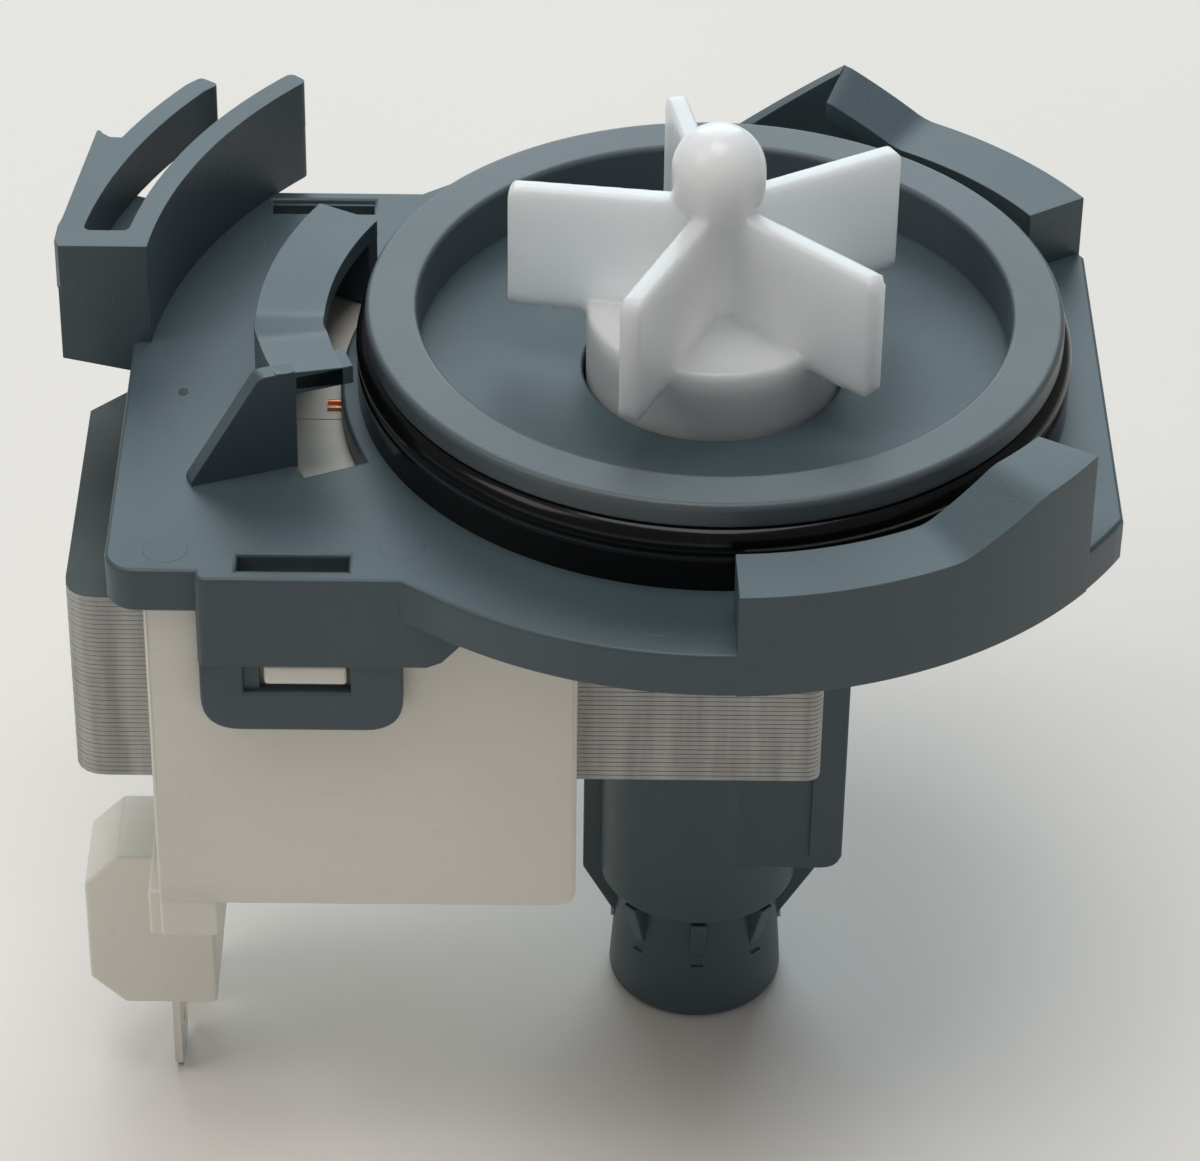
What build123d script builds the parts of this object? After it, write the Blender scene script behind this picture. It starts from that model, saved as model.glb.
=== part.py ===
from build123d import *
from math import asin, cos, degrees, radians, sin, sqrt
import os

# Drain pump of a dishwasher. Millimetres, Z up, origin on the pump axis at the
# top face of the collar ring. X points away from the coils, -Y is the front.

# Flange plate
plate_top = -8.35
plate_t = 2.5
plate_r = 41.3
plate_right_x = 35.5
tab_left_x = -52.9
tab_half_w = 30.1
tab_corner_r = 2.8
bevel_proud = 0.2
bevel_run = 4.3
skirt_h = 4.35
skirt_t = 1.3
edge_round = 0.4

# Snap tongues that hold the coil cover, front and rear
block_x0 = -45.0
block_x1 = -27.4
block_out = 31.25
block_h = 9.35
block_wedge = 4.2
block_corner_r = 1.0
tongue_x0 = -44.9
tongue_x1 = -27.2
tongue_set_back = 0.3
tongue_h = 7.3
tongue_corner_r = 3.5
window_x0 = -41.1
window_x1 = -31.8
window_drop = 0.25
window_h = 2.9
window_web_w = 1.4
window_web_back = 0.6
slot_x0 = -41.4
slot_x1 = -31.8
slot_in = 27.5
slot_out = 29.8

# Bayonet ledges round the collar
ledge_start = 31.8
ledge_count = 3
ledge_low = -2.25
ledge_high = 1.05
ledge_end_z = 1.75
ledge_t = 1.8
ledge_r_in = 35.1
ledge_wall = 1.8
low_arc = 27.5
ramp_arc = 12.0
high_arc = 9.8
pad_r_in = 34.2
pad_arc_len = 4.7
end_wall_arc = 2.6
slot_r_in = 33.7
third_slot_extra = 2.5
tail_arc = 14.0
tail_end_z = -6.2
rib_arc = 2.3
rib_reach = 8.0
rib_top_reach = 1.5
rib_round = 1.0

# Finger latch at the rear left of the plate
latch_top = 2.0
latch_front_y = 5.06
latch_in_r = 51.5
latch_arm_t = 2.2
latch_out_r = 60.0
latch_block_y1 = 7.8
latch_block_x0 = -59.55
latch_block_x1 = -51.2
latch_block_bottom = -10.2
latch_block_drop = 1.8
inner_arm_end = 138.4
inner_arm_overhang_z = -8.0
outer_arm_end = 144.1
outer_arm_h = 5.0
web_t = 1.8
web_end = 158.0
barb_tip_x = -57.4
barb_tip_y = 25.2
barb_angle = 156.3

# Collar, ring and seals
collar_r = 32.0
ring_r = 31.4
ring_in_r = 26.7
ring_t = 2.3
ring_skirt_wall = 2.6
ring_round = 0.6
o_ring_section = 2.9
o_ring_clear = 0.05
disc_clear = 0.1
disc_over = 0.35
gasket_t = 1.0
gasket_w = 2.6

# Rotor can with its floor disc
floor_rim_z = -5.2
floor_dish = 1.7
disc_t = 2.5
disc_groove = 1.0
key_fit = 0.05
key_end_gap = 0.1
dish_inset = 0.3
recess_r = 11.8
recess_floor_z = -12.0
recess_wall = 1.1
can_r = 9.6
can_wall = 1.2
can_shoulder_z = -65.2
cup_r = 8.45
cup_pocket = 0.75
cup_rib_end_z = -72.0
cup_rib_w = 1.5
cup_rib_count = 8
cup_bottom_z = -78.5
cup_floor_t = 1.3
cup_bore_r = 6.8
cup_seat_r = 6.0
cup_round = 0.8
gusset_x_left = 11.2
gusset_x_right = 11.5
gusset_w = 1.6
gusset_slope_z = -65.6
arm_t = 3.1
arm_w = 3.0
arm_y = -8.0
arm_end_z = -57.0
foot_bottom_z = -58.7
foot_top_z = -41.5
foot_w = 2.0
foot_round = 2.0
foot_bevel = 1.0

# Stator core
sheet_t = 0.5
sheet_count = 40
core_top = -15.8
core_x0 = -57.2
core_x1 = 10.0
core_half_w = 24.0
leg_w = 16.0
yoke_w = 16.0
bore_clear = 0.3
slit_clear = 0.3
shoe_t = 2.7
core_front_r = 3.0
core_end_r = 1.5
core_chamfer_y = 4.7
core_end_gap = 0.3
post_w = 4.0

# Bobbins, windings and the coil cover
bobbin_wall = 1.0
bobbin_flange_t = 1.2
bobbin_head_t = 6.9
bobbin_fit = 0.05
flange_over = 1.0
coil_end_gap = 0.3
winding_step = 0.6
winding_round = 2.0
cover_x0 = -49.7
cover_x1 = -12.0
cover_out = 29.0
cover_wall = 1.2
cover_top = -11.2
cover_bottom = -46.7
cover_round = 1.8
cover_core_gap = 0.3
cover_rib_t = 1.2
cover_rib_count = 4
catch_x0 = -39.3
catch_x1 = -32.1
catch_top = -18.0
catch_h = 2.5
catch_out = 1.8
catch_gap = 0.4
front_tab_h = 3.9
front_tab_x1 = -44.4

# Connector and blades
shroud_x0 = -57.8
shroud_x1 = -45.9
shroud_front_y = -18.3
shroud_back_y = 0.9
shroud_top_z = -50.3
shroud_bottom_z = -68.3
shroud_chamfer = 3.2
neck_x0 = -50.8
blade_x = -50.0
blade_y = -13.7
blade_pitch = 10.0
blade_count = 2
blade_w = 6.3
blade_t = 0.8
blade_root_z = -56.0
blade_tip_bevel = 1.2
blade_hole_r = 0.85
blade_hole_up = 4.6

# Rotor
shaft_r = 1.5
shaft_top_z = 3.0
shaft_bottom_z = -74.0
shaft_bevel = 0.3
groove_z = 0.8
groove_w = 0.9
groove_depth = 0.22
running_fit = 0.04
magnet_r = 7.7
magnet_bore_r = 3.3
magnet_top_z = -24.0
magnet_len = 32.0
sleeve_flange_t = 1.0
sleeve_flange_r = 6.6
sleeve_tail_r = 2.7
washer_r = 3.6
washer_t = 0.6
axial_play = 0.15

# Bearings and their carrier
carrier_flange_t = 1.8
carrier_fit = 0.05
carrier_depth = 9.6
carrier_bore_r = 5.2
carrier_hole_gap = 0.4
bearing_r = 3.0
bearing_len = 5.5
front_bearing_top = -14.6
rear_bearing_top = -66.4
grommet_over = 0.4
seal_t = 2.2
seal_drop = 0.2
seal_lip_fit = 0.02
seal_lip_h = 0.5
seal_slope_h = 1.2
seal_waist = 1.6
seal_rim = 1.2

# Drive dog inside the hub
dog_disc_t = 1.2
dog_disc_top = -8.2
dog_arc = 90.0
dog_r_in = 4.4
dog_side_gap = 0.6
pad_arc = 15.0
hub_lug_arc = 60.0
stop_clear = 2.0

# Impeller
blade_tip_r = 18.7
vane_top = 10.85
vane_bottom = -1.4
vane_t = 1.9
vane_count = 5
vane_first = 101.0
vane_corner = 1.0
vane_chamfer = 0.5
ball_r = 4.2
ball_z = 13.9
ball_stretch = 1.2
neck_top_r = 1.9
neck_foot_r = 2.1
hub_top = -0.2
hub_round = 0.8
hub_r = 11.5
hub_roof_t = 2.2
hub_bottom = -9.5
hub_wall = 1.6
hub_boss_r = 3.6
hub_boss_bottom = -7.7
hub_foot_round = 1.2
bore_depth_over = 0.4
bead_play = 0.3

# Depth to which joined pieces sink into each other
sink = 0.4

# Worked out from the sizes above
plate_bottom = plate_top - plate_t
bulge = 1 - cos(radians(45))
bevel_in_x = -sqrt((plate_r + bevel_proud) ** 2 - block_out ** 2)
bevel_out_x = bevel_in_x + bevel_run
skirt_bottom = plate_top - skirt_h
block_bottom = plate_top - block_h
tongue_bottom = block_bottom - tongue_h
ring_bottom = -ring_t
ring_skirt_r = ring_in_r + ring_skirt_wall
collar_top = ring_bottom - o_ring_section
o_ring_r = ring_skirt_r + o_ring_clear + o_ring_section / 2
o_ring_z = collar_top + o_ring_section / 2
disc_r = ring_skirt_r + disc_over
collar_in_r = disc_r + disc_clear
disc_bottom = floor_rim_z - disc_t
seat_top = disc_bottom - gasket_t
can_bore_r = can_r - can_wall
core_h = sheet_t * sheet_count
core_bottom = core_top - core_h
leg_in = core_half_w - leg_w
leg_mid = core_half_w - leg_w / 2
yoke_x1 = core_x0 + yoke_w
core_bore_r = can_r + bore_clear
shoe_x0 = -core_bore_r - shoe_t
slit_half = gusset_w / 2 + slit_clear
cover_in = cover_out - cover_wall
flange_rise = cover_in - core_half_w + flange_over
coil_x0 = yoke_x1 + coil_end_gap
coil_x1 = min(shoe_x0, cover_x1 - cover_wall) - coil_end_gap / 2
cup_floor_z = cup_bottom_z + cup_floor_t
sleeve_top = magnet_top_z + sleeve_flange_t
magnet_bottom = magnet_top_z - magnet_len
carrier_bottom = recess_floor_z - carrier_depth
dog_r_out = hub_r - hub_wall - dog_side_gap
hub_roof_z = hub_top - hub_roof_t
dog_lug_top = hub_roof_z - dog_side_gap
dog_mid = vane_first + 180 / vane_count
front_grommet_bottom = front_bearing_top - bearing_len - grommet_over
rear_seat_z = rear_bearing_top - bearing_len - grommet_over
front_washer_top = sleeve_top + washer_t + axial_play / 2
rear_washer_top = rear_bearing_top + grommet_over + washer_t + axial_play
lag_range = (360 - dog_arc - 2 * pad_arc - hub_lug_arc) / 2 - stop_clear


def at(r, a, z=0.0):
    """Point at radius r and angle a, counted from +X."""
    return (r * cos(radians(a)), r * sin(radians(a)), z)


def slab(x0, x1, y0, y1, z0, z1):
    """Box between two corners."""
    return Pos((x0 + x1) / 2, (y0 + y1) / 2, (z0 + z1) / 2) * Box(x1 - x0, y1 - y0, z1 - z0)


def disc(r, z0, z1):
    """Round plate on the pump axis."""
    return Pos(0, 0, (z0 + z1) / 2) * Cylinder(r, z1 - z0)


def ring_of(r_out, r_in, z0, z1):
    """Tube on the pump axis."""
    return disc(r_out, z0, z1) - disc(r_in, z0 - 1, z1 + 1)


def up_from(points, z0, z1):
    """Prism standing on a flat outline."""
    base = make_face(Polyline(*points, close=True))
    return extrude(Pos(0, 0, z0) * base, z1 - z0)


def along_y(points, y0, y1):
    """Prism along Y from an outline of (x, z) points."""
    base = make_face(Polyline(*[(x, y0, z) for x, z in points], close=True))
    return extrude(base, y1 - y0, dir=(0, 1, 0))


def turned(points):
    """Body of revolution about Z from an outline of (radius, z) points."""
    base = make_face(Polyline(*[(r, 0, z) for r, z in points], close=True))
    return revolve(base, Axis.Z)


def arc_block(r_in, r_out, a0, a1, z0, z1):
    """Block with round inner and outer walls between two angles."""
    mid = (a0 + a1) / 2
    outer = ThreePointArc(at(r_out, a0, z0), at(r_out, mid, z0), at(r_out, a1, z0))
    inner = ThreePointArc(at(r_in, a1, z0), at(r_in, mid, z0), at(r_in, a0, z0))
    sides = [Line(outer @ 1, inner @ 0), Line(inner @ 1, outer @ 0)]
    base = make_face([outer, inner] + sides)
    return extrude(base, z1 - z0, dir=(0, 0, 1))


def tilted(r, span):
    """Height at radius r on a line between two heights at the ledge's inner edge and the rim."""
    share = (r - ledge_r_in) / (plate_r - ledge_r_in)
    return span[0] + (span[1] - span[0]) * share


def radial_section(a, r0, r1, low, high):
    """Upright face in the plane through the axis at angle a."""
    corners = [
        at(r0, a, tilted(r0, low)),
        at(r1, a, tilted(r1, low)),
        at(r1, a, tilted(r1, high)),
        at(r0, a, tilted(r0, high)),
    ]
    return make_face(Polyline(*corners, close=True))


def sloped_block(r_in, r_out, first, last):
    """Block between two ends, each an angle with the heights of its lower and upper edge."""
    over = ledge_wall
    faces = [radial_section(a, r_in - over, r_out + over, low, high) for a, low, high in (first, last)]
    body = loft(faces, ruled=True)
    low = min(first[1] + last[1]) - over
    high = max(first[2] + last[2]) + over
    return body & arc_block(r_in, r_out, first[0] - 1, last[0] + 1, low, high)


def block_corner():
    """Radius of the block's outer corner, kept within its step from the tab."""
    return min(block_corner_r, 0.85 * abs(block_out - tab_half_w))


def plate_outline():
    """Flat outline of the flange: round, cut straight at the right, with a tab at the left."""
    rim = Circle(plate_r) & Pos(plate_right_x - 2 * plate_r, 0) * Rectangle(4 * plate_r, 4 * plate_r)
    bevel_out_y = sqrt(plate_r ** 2 - bevel_out_x ** 2)
    front = [
        (0, 0),
        (bevel_out_x, -bevel_out_y),
        (bevel_in_x, -block_out),
        (block_x0, -block_out),
        (block_x0, -tab_half_w),
        (tab_left_x, -tab_half_w),
    ]
    rear = [(x, -y) for x, y in reversed(front[1:])]
    tab = make_face(Polyline(*front, *rear, close=True))
    corners = tab.vertices().group_by(Axis.X)[0]
    tab = fillet(corners, tab_corner_r)
    steps = tab.vertices().filter_by(lambda v: abs(v.X - block_x0) < plate_t)
    steps = steps.sort_by(lambda v: abs(v.Y))[-2:]
    tab = fillet(steps, block_corner())
    return rim + tab


def flange_base():
    """Plate with its downturned skirt, collar wall and the seat of the can's disc."""
    outline = plate_outline()
    plate = extrude(Pos(0, 0, plate_bottom) * outline, plate_t)
    rounded = plate.faces().sort_by(Axis.Z)[-1].outer_wire().edges()
    plate = fillet(rounded, edge_round)
    inner = offset(outline, -skirt_t)
    skirt = extrude(Pos(0, 0, skirt_bottom) * outline, skirt_h - plate_t / 2)
    hollow = extrude(Pos(0, 0, skirt_bottom - 1) * inner, skirt_h + 1)
    room = cover_out + catch_gap
    over_cover = slab(
        cover_x0 - catch_gap, cover_x1 + catch_gap, -room, room, skirt_bottom - 1, plate_bottom
    )
    body = plate + (skirt - hollow - over_cover)
    body += ring_of(collar_r, collar_in_r, plate_bottom, collar_top)
    body -= disc(collar_in_r, seat_top, collar_top + 1)
    body += ring_of(collar_r, collar_in_r - gasket_w, plate_bottom, seat_top)
    body -= disc(collar_in_r - gasket_w, seat_top - 2 * plate_t, collar_top + 1)
    return body


def under(span):
    """Lower edge of a ledge's track."""
    return (span[0] - ledge_t, span[1] - ledge_t)


def ledge(a0, low_end, ramp_end, end):
    """Bayonet ledge on its outer wall: a low track, a ramp and a high track."""
    wall_in = plate_r - ledge_wall
    foot = (plate_bottom, plate_bottom)
    low = (ledge_low, ledge_low)
    last = (ledge_high, ledge_end_z)
    peak = (ledge_high, ledge_high) if end > ramp_end else last
    body = arc_block(ledge_r_in, plate_r, a0, low_end, ledge_low - ledge_t, ledge_low)
    body += arc_block(wall_in, plate_r, a0, low_end, plate_bottom, ledge_low)
    body += sloped_block(ledge_r_in, plate_r, (low_end, under(low), low), (ramp_end, under(peak), peak))
    body += sloped_block(wall_in, plate_r, (low_end, foot, low), (ramp_end, foot, peak))
    if end > ramp_end:
        body += sloped_block(ledge_r_in, plate_r, (ramp_end, under(peak), peak), (end, under(last), last))
        body += sloped_block(wall_in, plate_r, (ramp_end, foot, peak), (end, foot, last))
    body += arc_block(ledge_r_in, plate_r, a0, a0 + end_wall_arc, plate_bottom, ledge_low)
    return body


def gusset_rib(end):
    """Upright rib at the high end of the left ledge, leaning out onto the tab."""
    wall_in = plate_r - ledge_wall
    outer = plate_r + rib_reach
    shoulder = plate_r + rib_top_reach
    points = [
        (wall_in, plate_bottom),
        (outer, plate_bottom),
        (outer, plate_top),
        (shoulder + rib_round / 2, ledge_end_z - rib_round),
        (shoulder, ledge_end_z),
        (wall_in, ledge_end_z),
    ]
    face = make_face(Polyline(*[(r, 0, z) for r, z in points], close=True))
    width = plate_r * radians(rib_arc)
    body = Pos(0, width / 2, 0) * extrude(face, width, dir=(0, -1, 0))
    return Rot(0, 0, end - rib_arc / 2) * body


def ledge_pad(end):
    """Wider end of the left ledge's high track, towards the axis."""
    track = plate_r - ledge_wall
    return arc_block(pad_r_in, track, end - pad_arc_len, end, ledge_high - ledge_t, ledge_high)


def ledges():
    """Three ledges, 120 degrees apart: one is short with a sloping tail, one has the rib."""
    step = 360 / ledge_count
    foot = (plate_bottom, plate_bottom)
    body = None
    for i in range(ledge_count):
        a0 = ledge_start + i * step
        low_end = a0 + low_arc
        ramp_end = low_end + ramp_arc
        end = ramp_end + high_arc
        if i == 0:
            high = (ledge_end_z, ledge_end_z)
            low = (tail_end_z, tail_end_z)
            tail_end = ramp_end + tail_arc
            tail = sloped_block(
                plate_r - ledge_wall, plate_r, (ramp_end, foot, high), (tail_end, foot, low)
            )
            piece = ledge(a0, low_end, ramp_end, ramp_end) + tail
        else:
            piece = ledge(a0, low_end, ramp_end, end)
        if i == 1:
            piece += gusset_rib(end) + ledge_pad(end)
        body = piece if body is None else body + piece
    return body


def ledge_slots():
    """Arc slots in the plate under the ledges."""
    step = 360 / ledge_count
    cuts = []
    for i in range(ledge_count):
        a0 = ledge_start + i * step + end_wall_arc
        end = ledge_start + i * step + low_arc + ramp_arc + high_arc
        if i == 1:
            end += third_slot_extra
        if i == 0:
            end -= high_arc
        r_out = plate_r - ledge_wall
        cuts.append(arc_block(slot_r_in, r_out, a0, end, plate_bottom - 1, plate_top + 0.5))
    return cuts


def tongue(side):
    """Block and window tongue at the front (side -1) or rear (side 1) of the tab."""
    back = cover_out + catch_gap
    inner = side * back
    outer = side * block_out
    block = slab(block_x0, block_x1, min(inner, outer), max(inner, outer), block_bottom, plate_bottom)
    corner = block.edges().filter_by(Axis.Z).sort_by(lambda e: e.center().X - side * e.center().Y)[0]
    block = fillet(corner, block_corner())
    wedge = along_y(
        [
            (block_x1, skirt_bottom + 1),
            (block_x1 + block_wedge, skirt_bottom + 1),
            (block_x1 + block_wedge, block_bottom + block_wedge / 2),
            (block_x1 + block_wedge / 2, block_bottom),
            (block_x1, block_bottom),
        ],
        min(inner, outer), max(inner, outer),
    )
    set_back = side * (block_out - tongue_set_back)
    y0 = min(inner, set_back)
    y1 = max(inner, set_back)
    plate = slab(tongue_x0, tongue_x1, y0, y1, tongue_bottom, block_bottom)
    lower = plate.edges().filter_by(Axis.Y).group_by(Axis.Z)[0]
    plate = fillet(lower, tongue_corner_r)
    top = block_bottom - window_drop
    window = slab(window_x0, window_x1, y0 - 5, y1 + 5, top - window_h, top)
    web = slab(
        window_x0 - 1, window_x0 + window_web_w,
        min(inner, set_back - side * window_web_back), max(inner, set_back - side * window_web_back),
        top - window_h - 1, top + window_drop / 2,
    )
    return block + wedge + (plate - window) + web


def latch():
    """Finger latch: two curved arms on a block, with a barb on the outer arm."""
    arm_out = latch_in_r + latch_arm_t
    outer_in = latch_out_r - latch_arm_t
    start_in = 180 - degrees(asin(latch_front_y / latch_in_r))
    start_out = 180 - degrees(asin(latch_front_y / latch_out_r))
    arm_low = latch_top - outer_arm_h
    inner_arm = arc_block(latch_in_r, arm_out, inner_arm_end, start_in, plate_bottom, latch_top)
    outer_arm = arc_block(outer_in, latch_out_r, outer_arm_end, start_out, arm_low, latch_top)
    web = arc_block(latch_in_r, latch_out_r, web_end, start_out - 1, arm_low - web_t, arm_low)
    block = along_y(
        [
            (latch_block_x0, latch_block_bottom),
            (latch_block_x1, latch_block_bottom - latch_block_drop),
            (latch_block_x1, latch_top),
            (latch_block_x0, latch_top),
        ],
        latch_front_y, latch_block_y1,
    )
    tip = (barb_tip_x, barb_tip_y)
    step = at(latch_out_r - latch_arm_t / 2, barb_angle)
    start = (latch_block_x0, latch_front_y)
    root = at(latch_out_r - latch_arm_t / 2, start_out)
    mid = at(latch_out_r - latch_arm_t / 2, (barb_angle + start_out) / 2)
    shape = make_face(
        [
            Line((start[0], start[1], arm_low), (tip[0], tip[1], arm_low)),
            Line((tip[0], tip[1], arm_low), (step[0], step[1], arm_low)),
            ThreePointArc((step[0], step[1], arm_low), (mid[0], mid[1], arm_low), (root[0], root[1], arm_low)),
            Line((root[0], root[1], arm_low), (start[0], start[1], arm_low)),
        ]
    )
    barb = extrude(shape, latch_top - arm_low, dir=(0, 0, 1))
    body = inner_arm + outer_arm + web + block + barb
    body -= slab(-latch_out_r * 2, 0, -latch_out_r, latch_front_y, latch_block_bottom - 5, latch_top + 1)
    overhang = slab(
        -latch_in_r, 0, tab_half_w, latch_out_r, latch_block_bottom - 5, inner_arm_overhang_z
    )
    return body - overhang


def core_posts():
    """Posts under the tab that stand on the yoke of the core."""
    x0 = yoke_x1 - post_w
    posts = []
    for side in (-1, 1):
        y0 = side * leg_mid - post_w / 2
        posts.append(slab(x0 - post_w, x0, y0, y0 + post_w, core_top, plate_bottom + sink))
    return posts


def flange_plate():
    """Flange plate, ledges, tongues and latch, one moulding."""
    body = flange_base() + ledges()
    for cut in ledge_slots():
        body -= cut
    for side in (-1, 1):
        body += tongue(side)
        y0 = side * slot_in
        y1 = side * slot_out
        body -= slab(slot_x0, slot_x1, min(y0, y1), max(y0, y1), plate_bottom - 1, plate_top + 1)
    body += latch()
    for post in core_posts():
        body += post
    return body


def collar_ring():
    """Ring with a skirt that traps the O-ring, seated on the can's disc."""
    top = disc(ring_r, ring_bottom, 0) + disc(ring_skirt_r, floor_rim_z, ring_bottom)
    body = top - disc(ring_in_r, floor_rim_z - 1, 1)
    rims = body.edges().filter_by(GeomType.CIRCLE).group_by(Axis.Z)[-1]
    body = fillet(rims, ring_round)
    key = ring_of(ring_skirt_r - ring_skirt_wall / 3, ring_in_r + ring_skirt_wall / 3,
                  floor_rim_z - disc_groove, floor_rim_z + sink)
    return body + key


def o_ring():
    """Round sealing ring on the collar."""
    return Pos(0, 0, o_ring_z) * Torus(o_ring_r, o_ring_section / 2)


def can_gasket():
    """Flat gasket under the can's disc."""
    return ring_of(collar_in_r - disc_clear, collar_in_r - gasket_w, seat_top, disc_bottom)


def can_shell():
    """Floor disc, recess, tube and cup turned in one profile."""
    dish_z = floor_rim_z - floor_dish
    recess_out = recess_r + recess_wall
    shoulder = recess_floor_z - can_wall
    slope_end = can_shoulder_z - (can_r - cup_r)
    outline = [
        (recess_r, dish_z),
        (recess_r + recess_wall, dish_z),
        (ring_in_r - dish_inset, floor_rim_z),
        (disc_r, floor_rim_z),
        (disc_r, disc_bottom),
        (ring_in_r - dish_inset, disc_bottom),
        (recess_out, dish_z - disc_t),
        (recess_out, shoulder),
        (can_r, shoulder),
        (can_r, can_shoulder_z),
        (cup_r, slope_end),
        (cup_r, cup_bottom_z + cup_round),
        (cup_r - cup_round, cup_bottom_z),
        (0, cup_bottom_z),
        (0, cup_floor_z),
        (cup_seat_r, cup_floor_z),
        (cup_seat_r, rear_seat_z),
        (cup_bore_r, rear_seat_z),
        (cup_bore_r, can_shoulder_z),
        (can_bore_r, can_shoulder_z + can_wall),
        (can_bore_r, recess_floor_z),
        (recess_r, recess_floor_z),
    ]
    return turned(outline)


def can_gusset(side, reach):
    """Rib down one side of the tube that fits the slit between the poles."""
    shoulder = recess_floor_z - can_wall
    points = [
        (side * (can_r - can_wall / 2), shoulder),
        (side * reach, shoulder),
        (side * reach, gusset_slope_z),
        (side * cup_r, cup_rib_end_z),
        (side * (cup_r - can_wall / 2), cup_rib_end_z),
        (side * (cup_r - can_wall / 2), can_shoulder_z),
        (side * (can_r - can_wall / 2), can_shoulder_z),
    ]
    return along_y(points, -gusset_w / 2, gusset_w / 2)


def stop_arm():
    """Arm beside the right end of the core, with a foot that joins the tube."""
    x0 = core_x1 + core_end_gap
    top = floor_rim_z - floor_dish - disc_t / 2
    arm = slab(x0, x0 + arm_t, arm_y - arm_w / 2, arm_y + arm_w / 2, arm_end_z, top)
    inner_x = sqrt(can_r ** 2 - arm_y ** 2) - can_wall / 2
    foot = along_y(
        [
            (inner_x, foot_top_z),
            (x0 + arm_t / 2, foot_top_z),
            (x0 + arm_t, foot_top_z - foot_bevel),
            (x0 + arm_t, foot_bottom_z),
            (inner_x, foot_bottom_z),
        ],
        arm_y - foot_w / 2, arm_y + foot_w / 2,
    )
    corner = foot.edges().filter_by(Axis.Y).group_by(Axis.Z)[0].sort_by(Axis.X)[-1]
    return arm + fillet(corner, foot_round)


def cup_pockets():
    """Shallow pockets between the ribs at the top of the cup."""
    slope_end = can_shoulder_z - (can_r - cup_r)
    step = 360 / cup_rib_count
    band = ring_of(can_r + 1, cup_r - cup_pocket, cup_rib_end_z, slope_end)
    for i in range(cup_rib_count):
        angle = -90 + i * step
        rib = slab(0, can_r + 2, -cup_rib_w / 2, cup_rib_w / 2, cup_rib_end_z - 1, slope_end + 1)
        band -= Rot(0, 0, angle) * rib
    return band


def rotor_can():
    """Can that holds the rotor, with its ribs and stop arm."""
    body = can_shell() - cup_pockets()
    body += can_gusset(-1, gusset_x_left)
    body += can_gusset(1, gusset_x_right)
    body += stop_arm()
    groove = ring_of(
        ring_skirt_r - ring_skirt_wall / 3 + key_fit, ring_in_r + ring_skirt_wall / 3 - key_fit,
        floor_rim_z - disc_groove - key_end_gap, floor_rim_z + 1,
    )
    return body - groove


def stator_core():
    """U core of stacked sheets, with poles round the can."""
    core = slab(core_x0, core_x1, -core_half_w, core_half_w, core_bottom, core_top)
    uprights = core.edges().filter_by(Axis.Z)
    left_front = uprights.sort_by(Axis.Y)[:2].sort_by(Axis.X)[0]
    core = fillet(left_front, core_front_r)
    right_ends = core.edges().filter_by(Axis.Z).group_by(Axis.X)[-1]
    core = fillet(right_ends, core_end_r)
    cut = core_half_w - core_chamfer_y
    corner = [
        (core_x0 - 1, core_chamfer_y - 1),
        (core_x0 - 1, core_half_w + 1),
        (core_x0 + cut + 1, core_half_w + 1),
    ]
    core -= up_from(corner, core_bottom - 1, core_top + 1)
    core -= slab(yoke_x1, shoe_x0, -leg_in, leg_in, core_bottom - 1, core_top + 1)
    core -= disc(core_bore_r, core_bottom - 1, core_top + 1)
    core -= slab(shoe_x0 - 1, core_x1 + 1, -slit_half, slit_half, core_bottom - 1, core_top + 1)
    return core


def leg_box(side, grow_in, grow_out, rise, x0, x1):
    """Box round one leg of the core, grown on each side."""
    y_in = side * (leg_in - grow_in)
    y_out = side * (core_half_w + grow_out)
    return slab(x0, x1, min(y_in, y_out), max(y_in, y_out), core_bottom - rise, core_top + rise)


def bobbin(side):
    """Square spool on one leg of the core, with a thick head at the yoke's end."""
    skin = bobbin_fit + bobbin_wall
    side_grow = cover_in - core_half_w
    body = leg_box(side, skin, skin, skin, coil_x0, coil_x1)
    body += leg_box(side, side_grow, side_grow, flange_rise, coil_x0, coil_x0 + bobbin_head_t)
    body += leg_box(side, side_grow, side_grow, flange_rise, coil_x1 - bobbin_flange_t, coil_x1)
    hole = leg_box(side, bobbin_fit, bobbin_fit, bobbin_fit, coil_x0 - 1, coil_x1 + 1)
    return body - hole


def winding(side):
    """Copper layers between the flanges of the bobbin."""
    grow = cover_in - core_half_w - winding_step
    x0 = coil_x0 + bobbin_head_t
    x1 = coil_x1 - bobbin_flange_t
    body = leg_box(side, grow, grow, flange_rise - winding_step, x0, x1)
    body = fillet(body.edges().filter_by(Axis.X), winding_round)
    skin = bobbin_fit + bobbin_wall
    return body - leg_box(side, skin, skin, skin, x0 - 1, x1 + 1)


def cover_shell():
    """Trough round the coils, open at the top and notched for the core."""
    body = slab(cover_x0, cover_x1, -cover_out, cover_out, cover_bottom, cover_top)
    corners = body.edges().filter_by(Axis.Y).group_by(Axis.Z)[0].sort_by(Axis.X)
    body = fillet(corners[-1], cover_round)
    inside = slab(
        cover_x0 + cover_wall, cover_x1 - cover_wall, -cover_in, cover_in,
        cover_bottom + cover_wall, cover_top + 1,
    )
    body -= inside
    notch = core_half_w + cover_core_gap
    body -= slab(
        cover_x0 - 1, cover_x1 + 1, -notch, notch, core_bottom - cover_core_gap, cover_top + 1
    )
    return body


def cover_ribs():
    """Ribs across the bottom of the trough that carry the bobbins."""
    ribs = []
    span = coil_x1 - coil_x0 - cover_rib_t
    for i in range(cover_rib_count):
        x0 = coil_x0 + span * i / (cover_rib_count - 1)
        ribs.append(
            slab(x0, x0 + cover_rib_t, -cover_in - sink, cover_in + sink,
                 cover_bottom + cover_wall / 2, core_bottom - flange_rise)
        )
    return ribs


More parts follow.
